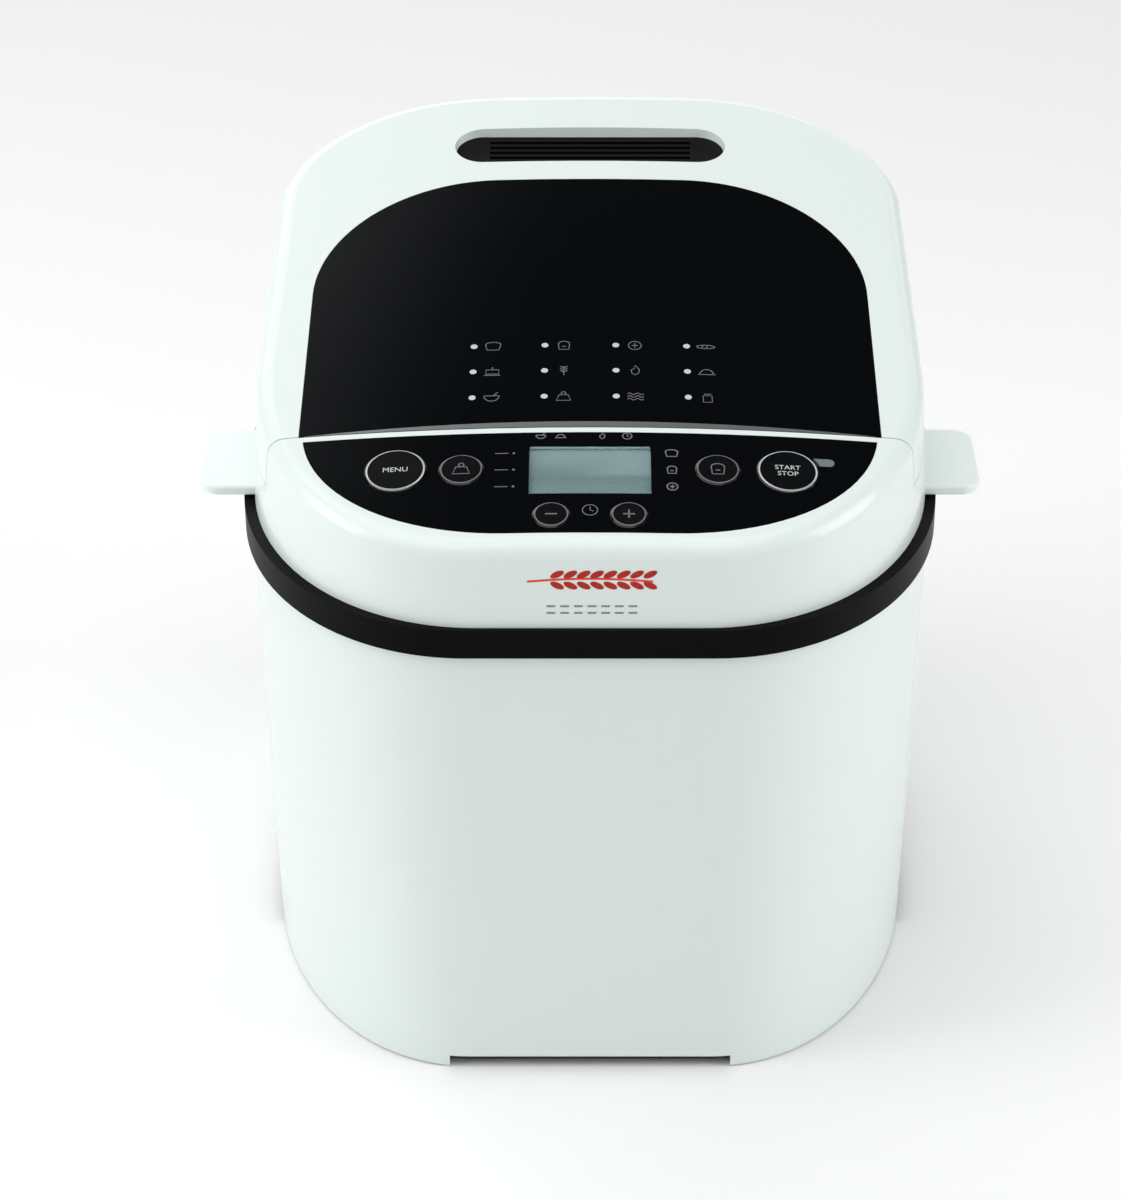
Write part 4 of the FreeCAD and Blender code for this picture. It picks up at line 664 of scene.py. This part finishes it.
class BREAD_OT_panel_finish(bpy.types.Operator):
    """Finish the gloss black panels, display, indicator, vent, and the silver strip whose silver is a
    painted highlight of the lid's front bevel
    """

    bl_idname = "bread.panel_finish"
    bl_label = "Finish panels"

    def execute(self, context):
        panel = finish("gloss_black_panel", colours().panel, 0.10, tone=0.12, wipe=0.05, wipe_scale=16.0,
                       grain=0.006, grain_scale=260.0, uniform={"Specular IOR Level": 0.22})
        # Painted highlight: the silver of the strip at the lid's front edge stands in for the light caught
        # by a gloss black bevel.
        silver_painted_highlight = finish("silver_strip_painted_highlight", colours().silver_painted_highlight, 0.28, tone=0.03, wipe=0.06, grain=0.015,
                        grain_scale=500.0, stretch=(0.05, 1.0, 1.0), uniform={"Metallic": 1.0})
        vent = finish("vent_black", colours().band, 0.5, tone=0.1, grain=0.10, grain_scale=1500.0,
                      uniform={"Specular IOR Level": 0.10})
        window = finish("display_window", (0.92, 0.97, 0.97), 0.05, tone=0.01, wipe=0.02, grain=0.004,
                        uniform={"Transmission Weight": 1.0, "IOR": 1.46, "Specular IOR Level": 0.35})
        screen = finish("reflective_display", colours().display, 0.55, tone=0.05, tone_scale=22.0,
                        grain=0.05, grain_scale=2600.0, fleck=(0.60, 0.81, 0.83), fleck_scale=2400.0)
        light_bar = finish("light_bar", (0.15, 0.19, 0.20), 0.3, tone=0.05, grain=0.03,
                           uniform={"Coat Weight": 0.3})
        coat_nodes(("lid_fascia", "control_fascia"), panel)
        coat_node("lid_trim", silver_painted_highlight)
        coat_node("vent_grille", vent)
        coat_node("display_lens", window)
        coat_node("lcd_module", screen)
        coat_node("indicator_lens", light_bar)
        return {"FINISHED"}


class BREAD_OT_button_finish(bpy.types.Operator):
    """Finish the six button caps"""

    bl_idname = "bread.button_finish"
    bl_label = "Finish buttons"

    def execute(self, context):
        cap = finish("gloss_black_cap", colours().panel, 0.16, tone=0.15, wipe=0.08, wipe_scale=60.0,
                     grain=0.01, uniform={"Specular IOR Level": 0.42})
        for name in BUTTONS:
            coat_node("button_" + name, cap)
        return {"FINISHED"}


class BREAD_OT_base_finish(bpy.types.Operator):
    """Finish the base, feet, screws and cord gland"""

    bl_idname = "bread.base_finish"
    bl_label = "Finish base"

    def execute(self, context):
        base = finish("textured_black_base", (0.014, 0.014, 0.015), 0.62, tone=0.15, wipe=0.1, grain=0.35,
                      grain_scale=1500.0, uniform={"Specular IOR Level": 0.3})
        foot = finish("foot_rubber_black", (0.02, 0.02, 0.021), 0.85, tone=0.25, tone_scale=60.0, grain=0.3,
                      grain_scale=2200.0, uniform={"Specular IOR Level": 0.2})
        steel = finish("zinc_plated_steel", (0.52, 0.52, 0.50), 0.33, tone=0.12, tone_scale=45.0, wipe=0.15,
                       grain=0.08, grain_scale=800.0, stretch=(1.0, 0.2, 1.0), uniform={"Metallic": 1.0})
        coat_node("base_plate", base)
        coat_nodes(("rubber_feet", "cord_gland"), foot)
        coat_nodes(("base_screws", "hinge_pins", "chassis_plate", "chassis_posts", "element_clips",
                    "heat_shield", "pan_clips", "motor_bracket", "temperature_sensor"), steel)
        return {"FINISHED"}


class BREAD_OT_oven_finish(bpy.types.Operator):
    """Finish the oven chamber, heater, lid liner and seals"""

    bl_idname = "bread.oven_finish"
    bl_label = "Finish oven"

    def execute(self, context):
        enamel = finish("speckled_enamel", (0.16, 0.162, 0.165), 0.36, tone=0.08, wipe=0.12, grain=0.12,
                        grain_scale=300.0, fleck=(0.42, 0.42, 0.41), fleck_scale=520.0, fleck_amount=0.2,
                        uniform={"Coat Weight": 0.25})
        sheath = finish("heat_darkened_sheath", (0.14, 0.12, 0.105), 0.44, tone=0.9, tone_scale=26.0,
                        wipe=0.2, grain=0.12, grain_scale=900.0, uniform={"Metallic": 1.0})
        liner = finish("pressed_aluminium", (0.66, 0.66, 0.655), 0.34, tone=0.05, wipe=0.14, grain=0.10,
                       grain_scale=420.0, stretch=(0.04, 1.0, 1.0), uniform={"Metallic": 1.0})
        seal = finish("grey_silicone", (0.33, 0.33, 0.32), 0.62, tone=0.08, grain=0.05,
                      uniform={"Subsurface Weight": 0.1, "Specular IOR Level": 0.3})
        coat_node("oven_chamber", enamel)
        coat_node("heating_element", sheath)
        coat_node("lid_liner", liner)
        coat_nodes(("lid_seal", "pan_shaft_seal"), seal)
        return {"FINISHED"}


class BREAD_OT_pan_finish(bpy.types.Operator):
    """Finish the bread pan, its handle and the kneading paddle"""

    bl_idname = "bread.pan_finish"
    bl_label = "Finish bread pan"

    def execute(self, context):
        coating = finish("non_stick_coating", (0.032, 0.032, 0.034), 0.38, tone=0.2, wipe=0.1, grain=0.10,
                         grain_scale=650.0, fleck=(0.16, 0.16, 0.165), fleck_scale=900.0, fleck_amount=0.16,
                         uniform={"Specular IOR Level": 0.5})
        casting = finish("cast_aluminium", (0.50, 0.50, 0.49), 0.45, tone=0.08, wipe=0.15, grain=0.22,
                         grain_scale=700.0, uniform={"Metallic": 1.0})
        plated = finish("plated_wire", (0.72, 0.72, 0.72), 0.12, tone=0.05, wipe=0.1, wipe_scale=70.0,
                        grain=0.02, uniform={"Metallic": 1.0})
        coat_nodes(("bread_pan", "kneading_paddle"), coating)
        coat_nodes(("pan_base", "pan_coupler", "drive_coupler", "drive_bearing_housing"), casting)
        coat_nodes(("pan_handle", "pan_handle_pivots", "pan_shaft", "drive_shaft"), plated)
        return {"FINISHED"}


class BREAD_OT_works_finish(bpy.types.Operator):
    """Finish the motor, belt drive and electrical parts"""

    bl_idname = "bread.works_finish"
    bl_label = "Finish drive and electrics"

    def execute(self, context):
        bronze = finish("sintered_bronze", (0.50, 0.33, 0.14), 0.45, tone=0.12, grain=0.2,
                        uniform={"Metallic": 1.0})
        nylon = finish("natural_nylon", (0.55, 0.54, 0.49), 0.5, tone=0.05, grain=0.08,
                       uniform={"Subsurface Weight": 0.1})
        belt = finish("belt_rubber_black", (0.016, 0.016, 0.016), 0.75, tone=0.2, grain=0.3,
                      grain_scale=1600.0)
        iron = finish("laminated_iron", (0.20, 0.20, 0.21), 0.5, tone=0.15, grain=0.3, grain_scale=1500.0,
                      stretch=(0.1, 0.1, 1.0), uniform={"Metallic": 1.0})
        board = finish("circuit_board_green", (0.02, 0.13, 0.055), 0.4, tone=0.2, tone_scale=60.0,
                       fleck=(0.35, 0.33, 0.2), fleck_scale=260.0, fleck_amount=0.14, grain=0.15,
                       grain_scale=500.0)
        pale = finish("pale_moulding", (0.62, 0.60, 0.54), 0.5, tone=0.06, grain=0.06)
        grey = finish("grey_insulation", (0.30, 0.30, 0.31), 0.5, tone=0.1, grain=0.2, grain_scale=900.0,
                      stretch=(1.0, 0.05, 0.05))
        coat_node("drive_bushes", bronze)
        coat_nodes(("drive_pulley", "motor_fan"), nylon)
        coat_node("drive_belt", belt)
        coat_nodes(("motor_stator", "motor_rotor", "motor_pulley"), iron)
        coat_nodes(("control_board", "power_board"), board)
        coat_nodes(("motor_capacitor", "terminal_block"), pale)
        coat_nodes(("ribbon_cable", "tact_switches"), grey)
        return {"FINISHED"}


# ---------------------------------------------------------------- printed marks

# Each button's centre across and along the panel, and its cap's radius, in millimetres.
BUTTONS = {
    "menu": (-72.6, -100.0, 11.7), "weight": (-48.0, -100.9, 8.5), "crust": (47.6, -100.9, 8.5),
    "start_stop": (73.7, -100.4, 11.7), "minus": (-14.3, -126.3, 7.0), "plus": (14.3, -126.3, 7.0),
}

# A cap of more than this radius has a bright ring. Every ring lies a little inside its cap's edge.
LARGE_CAP = 10.0
RING_INSET = 0.95

# The program marks on the lid, in millimetres.
PROGRAM_LEFT = -45.0
PROGRAM_ROWS = (-30.0, -45.0, -60.3)
ICON_OFFSET = 7.4

# The legends round the display. LEGEND_ROWS and SYMBOL_COLUMNS are in millimetres, the rest in metres.
LEGEND_ROWS = (-92.3, -101.4, -110.6)
LEGEND_LINE = (-0.0355, -0.0305)
LEGEND_DOT = -0.0285
LEGEND_ICON = 0.0305
SYMBOL_COLUMNS = (-18.5, -11.0, 4.6, 14.0)
SYMBOL_ROW = -0.0830
CLOCK_ROW = -0.1237

# The badge on the front: heights above the table and sizes in metres, the tilt in degrees.
STALK_HEIGHT = 0.2262
STALK_HALF = 0.023
STALK_BEND = 0.0011
STALK_LINE = 0.0008
STALK_STEPS = 24
GRAIN_HEIGHT = 0.2268
GRAIN_TILT = 24
GRAIN_DROP = 0.00215
DASH_HEIGHT = 0.2153
DASH_HALF = 0.0016
DASH_LINE = 0.0007


def bright_ink():
    """Bright print, made once."""
    return bpy.data.materials.get("bright_ink") or finish(
        "bright_ink", colours().print_bright, 0.5, tone=0.15, tone_scale=160.0, grain=0.04)


def dim_ink():
    """Dim print, made once."""
    return bpy.data.materials.get("dim_ink") or finish(
        "dim_ink", colours().print_dim, 0.5, tone=0.25, tone_scale=220.0, grain=0.04)


class BREAD_OT_program_lights(bpy.types.Operator):
    """Print the rows of program lights on the lid panel"""

    bl_idname = "bread.program_lights"
    bl_label = "Program lights"

    def execute(self, context):
        size = sizes()
        width = size.column_pitch * (size.columns - 1)
        depth = size.row_pitch * (size.rows - 1)
        middle = Vector((PROGRAM_LEFT * MILLIMETRE + width / 2, PROGRAM_ROWS[1] * MILLIMETRE, ABOVE))
        lights = flat_object("program_lights", lambda mesh: dot(mesh, 0, 0, size.light))
        lay_print(lights, "lid_fascia", bright_ink(), "lid", "silver_trim", tree="rows_of_prints",
                  Columns=size.columns, Rows=size.rows, Width=width, Depth=depth, Place=tuple(middle),
                  Turn=LEVEL, Tilt=LEVEL)
        return {"FINISHED"}


class BREAD_OT_program_pictograms(bpy.types.Operator):
    """Print a pictogram beside each program light"""

    bl_idname = "bread.program_pictograms"
    bl_label = "Program pictograms"

    def execute(self, context):
        size = sizes()

        def draw(mesh):
            for icons, row in zip(PROGRAM_ICONS, PROGRAM_ROWS):
                for column, icon in enumerate(icons):
                    x = (PROGRAM_LEFT + ICON_OFFSET) * MILLIMETRE + column * size.column_pitch
                    add_icon(mesh, icon, x, row * MILLIMETRE, size.icon, size.thin_line)

        marks = shift_mesh(flat_object("program_pictograms", draw), drop_place(0, 0))
        lay_print(marks, "lid_fascia", dim_ink(), "lid", "silver_trim")
        return {"FINISHED"}


class BREAD_OT_panel_legends(bpy.types.Operator):
    """Print the small legends round the display"""

    bl_idname = "bread.panel_legends"
    bl_label = "Panel legends"

    def execute(self, context):
        size = sizes()

        def draw(mesh):
            start, end = LEGEND_LINE
            for row in LEGEND_ROWS:
                y = row * MILLIMETRE
                ribbon(mesh, [(start, y), (end, y)], size.thin_line)
                dot(mesh, LEGEND_DOT, y, size.thin_line * 1.4, 10)
            for icon, row in zip((loaf, slice_of_bread, round_loaf), LEGEND_ROWS):
                add_icon(mesh, icon, LEGEND_ICON, row * MILLIMETRE, size.icon * 0.8,
                         size.thin_line * 1.4)
            for icon, x in zip((bowl, dough_ball, flame, clock), SYMBOL_COLUMNS):
                add_icon(mesh, icon, x * MILLIMETRE, SYMBOL_ROW, size.icon * 0.62,
                         size.thin_line * 1.2)
            add_icon(mesh, clock, 0.0, CLOCK_ROW, size.icon, size.thin_line)

        marks = shift_mesh(flat_object("panel_legends", draw), drop_place(0, 0))
        lay_print(marks, "control_fascia", dim_ink(), "housing", "silver_trim")
        return {"FINISHED"}


class BREAD_OT_button_prints(bpy.types.Operator):
    """Print a ring and a sign on each button"""

    bl_idname = "bread.button_prints"
    bl_label = "Button prints"

    def execute(self, context):
        signs = {"weight": scales, "crust": slice_of_bread, "minus": minus_sign, "plus": plus_sign}
        for name, (x, y, radius) in BUTTONS.items():
            self.ring(name, x, y, radius)
            if name in signs:
                self.sign(name, x, y, radius, signs[name])
        self.lettering("menu", "MENU", 3.5)
        self.lettering("start_stop", "START\nSTOP", 3.3)
        return {"FINISHED"}

    def ring(self, name, x, y, radius):
        """The ring near the cap's edge."""
        bright = radius > LARGE_CAP
        line = circle_line(0, 0, (radius - RING_INSET) * MILLIMETRE, 64)
        width = sizes().ring_line * (1.0 if bright else 0.8)
        piece = flat_object(name + "_ring", lambda mesh: ribbon(mesh, line, width, True))
        shift_mesh(piece, drop_place(x, y))
        lay_print(piece, "button_" + name, bright_ink() if bright else dim_ink(),
                  "button_" + name + "_body", "silver_trim")

    def sign(self, name, x, y, radius, icon):
        """The sign in the middle of a small cap."""
        half = radius * 0.42 * MILLIMETRE
        width = sizes().thin_line * (1.7 if name in ("plus", "minus") else 1.25)
        piece = flat_object(name + "_sign", lambda mesh: add_icon(mesh, icon, 0, 0, half, width))
        shift_mesh(piece, drop_place(x, y))
        lay_print(piece, "button_" + name, dim_ink(), "button_" + name + "_body", "silver_trim")

    def lettering(self, name, text, height):
        """Plain lettering in the middle of a large cap."""
        x, y, _ = BUTTONS[name]
        piece = words(name + "_lettering", text, height * MILLIMETRE)
        shift_mesh(piece, drop_place(x, y))
        lay_print(piece, "button_" + name, bright_ink(), "button_" + name + "_body", "silver_trim")


class BREAD_OT_front_badge(bpy.types.Operator):
    """Print an ear of grain and a dashed line on the front"""

    bl_idname = "bread.front_badge"
    bl_label = "Front badge"

    def execute(self, context):
        red = finish("badge_red", colours().badge, 0.35, tone=0.12, tone_scale=90.0, grain=0.03,
                     uniform={"Coat Weight": 0.2})
        grey = finish("badge_grey", colours().badge_line, 0.45, tone=0.12, tone_scale=90.0, grain=0.03)
        upright = Matrix.Rotation(math.radians(90), 4, "X")
        stalk = flat_object("badge_stalk", self.draw_stalk)
        shift_mesh(stalk, Matrix.Translation((0, IN_FRONT, STALK_HEIGHT)) @ upright)
        lay_print(stalk, "upper_housing", red, "housing", "button_black", BACKWARD)
        self.grains("badge_grains_upper", GRAIN_TILT, GRAIN_DROP, red)
        self.grains("badge_grains_lower", -GRAIN_TILT, -GRAIN_DROP, red)
        stroke = [(-DASH_HALF, 0), (DASH_HALF, 0)]
        dash = flat_object("badge_dashes", lambda mesh: ribbon(mesh, stroke, DASH_LINE))
        lay_print(dash, "upper_housing", grey, "housing", "display_grey", BACKWARD, "rows_of_prints",
                  Columns=7, Rows=2, Width=0.030, Depth=0.0026, Place=(0.0007, IN_FRONT, DASH_HEIGHT),
                  Turn=UPRIGHT, Tilt=LEVEL)
        return {"FINISHED"}

    def draw_stalk(self, mesh):
        """A gently curved stalk."""
        line = []
        for step in range(STALK_STEPS + 1):
            part = step / STALK_STEPS
            line.append((STALK_HALF * (2 * part - 1), STALK_BEND * math.sin(part * math.pi)))
        ribbon(mesh, line, STALK_LINE)

    def grains(self, name, tilt, drop, material):
        """One side's row of grains."""
        outline = arc_points(0, 0, 0.0027, 0.0012, 0, 360, 18)[:-1]

        def draw(mesh):
            mesh.faces.new([mesh.verts.new((x, y, 0)) for x, y in outline])

        piece = flat_object(name, draw)
        lay_print(piece, "upper_housing", material, "housing", "button_black", BACKWARD, "rows_of_prints",
                  Columns=8, Rows=2, Width=0.034, Depth=0.0,
                  Place=(0.005, IN_FRONT, GRAIN_HEIGHT + drop),
                  Turn=UPRIGHT, Tilt=(0.0, 0.0, math.radians(tilt)))


# ---------------------------------------------------------------- stage

FLOOR_HALF = 6.0
FLOOR_GAP = 0.0002
CAMERA_PLACE = (0.0, -1.16637, 0.84596)
CAMERA_SHIFT = (-0.0246, -0.0083)


def area_light(name, power, size, place, target):
    """A rectangular soft light aimed at a point."""
    data = bpy.data.lights.new(name, "AREA")
    data.shape = "RECTANGLE"
    data.size, data.size_y = size
    data.energy = power
    lamp = bpy.data.objects.new(name, data)
    lamp.location = place
    lamp.rotation_euler = (Vector(target) - Vector(place)).to_track_quat("-Z", "Y").to_euler()
    bpy.context.scene.collection.objects.link(lamp)


class BREAD_OT_stage(bpy.types.Operator):
    """Make the floor, lights and camera"""

    bl_idname = "bread.stage"
    bl_label = "Stage"

    def execute(self, context):
        settings = stage_settings()
        self.floor(settings)
        self.lights(settings)
        self.camera(settings)
        context.scene.view_settings.view_transform = "Standard"
        return {"FINISHED"}

    def floor(self, settings):
        """A wide pale floor."""
        half = FLOOR_HALF
        paint = finish("pale_floor", settings.floor, 0.6, tone=0.01, tone_scale=0.7, wipe=0.05, grain=0.01,
                       uniform={"Specular IOR Level": 0.25})
        corners = [(-half, -half), (half, -half), (half, half), (-half, half)]
        floor = flat_object("floor", lambda mesh: mesh.faces.new(
            [mesh.verts.new((x, y, CAD_BOX[0][2] - FLOOR_GAP)) for x, y in corners]))
        floor.data.materials.append(paint)

    def lights(self, settings):
        """Even air light, and soft lights above, at each side, in front and over the floor behind."""
        world = bpy.data.worlds.new("even_light")
        world.use_nodes = True
        background = world.node_tree.nodes["Background"]
        background.inputs["Color"].default_value = (1.0, 1.0, 1.0, 1.0)
        self.dim_rear(world.node_tree, background, settings.air)
        bpy.context.scene.world = world
        middle = (0.0, 0.0, 0.15)
        area_light("top_light", settings.key, (2.6, 2.4), (-0.55, -0.2, 2.2), (-0.55, -0.2, 0.0))
        area_light("left_light", settings.left, (0.9, 1.2), (-1.6, -0.35, 0.85), middle)
        area_light("right_light", settings.right, (0.9, 1.2), (1.6, -0.35, 0.85), middle)
        area_light("front_light", settings.front, (1.8, 0.8), (0.0, -2.1, 0.55), middle)
        area_light("rear_floor_light", settings.rear, (5.0, 2.4), (0.0, 3.2, 1.5), (0.0, 3.2, 0.0))

    def dim_rear(self, tree, background, strength):
        """Let the even light fall off towards the upper rear, with a soft glow at the left of it."""
        where = node(tree, "ShaderNodeTexCoord", (-1100, 0))
        rear = self.slope(tree, where, (0.0, 0.8, 0.45), (0.15, 0.75), (strength, strength * 0.12))
        behind = self.slope(tree, where, (0.0, 0.8, 0.45), (0.55, 0.8), (0.0, 1.0))
        left = self.slope(tree, where, (-0.9, 0.0, -0.9), (-0.64, -0.25), (0.0, 1.25))
        glow = math_node(tree, "MULTIPLY", (-300, -200))
        total = math_node(tree, "ADD", (-150, 0))
        tree.links.new(behind, glow.inputs[0])
        tree.links.new(left, glow.inputs[1])
        tree.links.new(rear, total.inputs[0])
        tree.links.new(glow.outputs[0], total.inputs[1])
        tree.links.new(total.outputs[0], background.inputs["Strength"])

    def slope(self, tree, where, axis, reach, values):
        """A smooth change of strength along a direction."""
        along = node(tree, "ShaderNodeVectorMath", (-800, 0), operation="DOT_PRODUCT")
        along.inputs[1].default_value = axis
        change = node(tree, "ShaderNodeMapRange", (-550, 0), interpolation_type="SMOOTHSTEP")
        labels = ("From Min", "From Max", "To Min", "To Max")
        for label, value in zip(labels, reach + values):
            change.inputs[label].default_value = value
        tree.links.new(where.outputs["Generated"], along.inputs[0])
        tree.links.new(along.outputs["Value"], change.inputs["Value"])
        return change.outputs["Result"]

    def camera(self, settings):
        """The camera in front and above."""
        data = bpy.data.cameras.new("camera")
        data.lens = settings.lens
        data.shift_x, data.shift_y = CAMERA_SHIFT
        camera = bpy.data.objects.new("camera", data)
        camera.location = CAMERA_PLACE
        camera.rotation_euler = (math.pi / 2 - settings.pitch, 0.0, 0.0)
        bpy.context.scene.collection.objects.link(camera)
        bpy.context.scene.camera = camera


OPERATORS = (
    BREAD_OT_outer_finish, BREAD_OT_panel_finish, BREAD_OT_button_finish, BREAD_OT_base_finish,
    BREAD_OT_oven_finish, BREAD_OT_pan_finish, BREAD_OT_works_finish, BREAD_OT_program_lights,
    BREAD_OT_program_pictograms, BREAD_OT_panel_legends, BREAD_OT_button_prints, BREAD_OT_front_badge,
    BREAD_OT_stage,
)


class BREAD_PT_panel(bpy.types.Panel):
    """Buttons and settings for the bread machine's finishes"""

    bl_idname = "BREAD_PT_panel"
    bl_label = "Bread machine"
    bl_space_type = "VIEW_3D"
    bl_region_type = "UI"
    bl_category = "Bread machine"

    def draw(self, context):
        layout = self.layout
        for operator in OPERATORS:
            layout.operator(operator.bl_idname)
        for group in (colours(), sizes(), stage_settings()):
            box = layout.box()
            for label in group.__annotations__:
                box.prop(group, label)


CLASSES = (BREAD_PG_colours, BREAD_PG_sizes, BREAD_PG_stage) + OPERATORS + (BREAD_PT_panel,)


def register():
    """Register the classes and their settings."""
    for item in CLASSES:
        bpy.utils.register_class(item)
    bpy.types.Scene.bread_colours = PointerProperty(type=BREAD_PG_colours)
    bpy.types.Scene.bread_sizes = PointerProperty(type=BREAD_PG_sizes)
    bpy.types.Scene.bread_stage = PointerProperty(type=BREAD_PG_stage)


def unregister():
    """Take the settings and classes away."""
    del bpy.types.Scene.bread_stage
    del bpy.types.Scene.bread_sizes
    del bpy.types.Scene.bread_colours
    for item in reversed(CLASSES):
        bpy.utils.unregister_class(item)


def main():
    """Register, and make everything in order."""
    register()
    for operator in OPERATORS:
        area, name = operator.bl_idname.split(".")
        getattr(getattr(bpy.ops, area), name)()


if __name__ == "__main__":
    main()
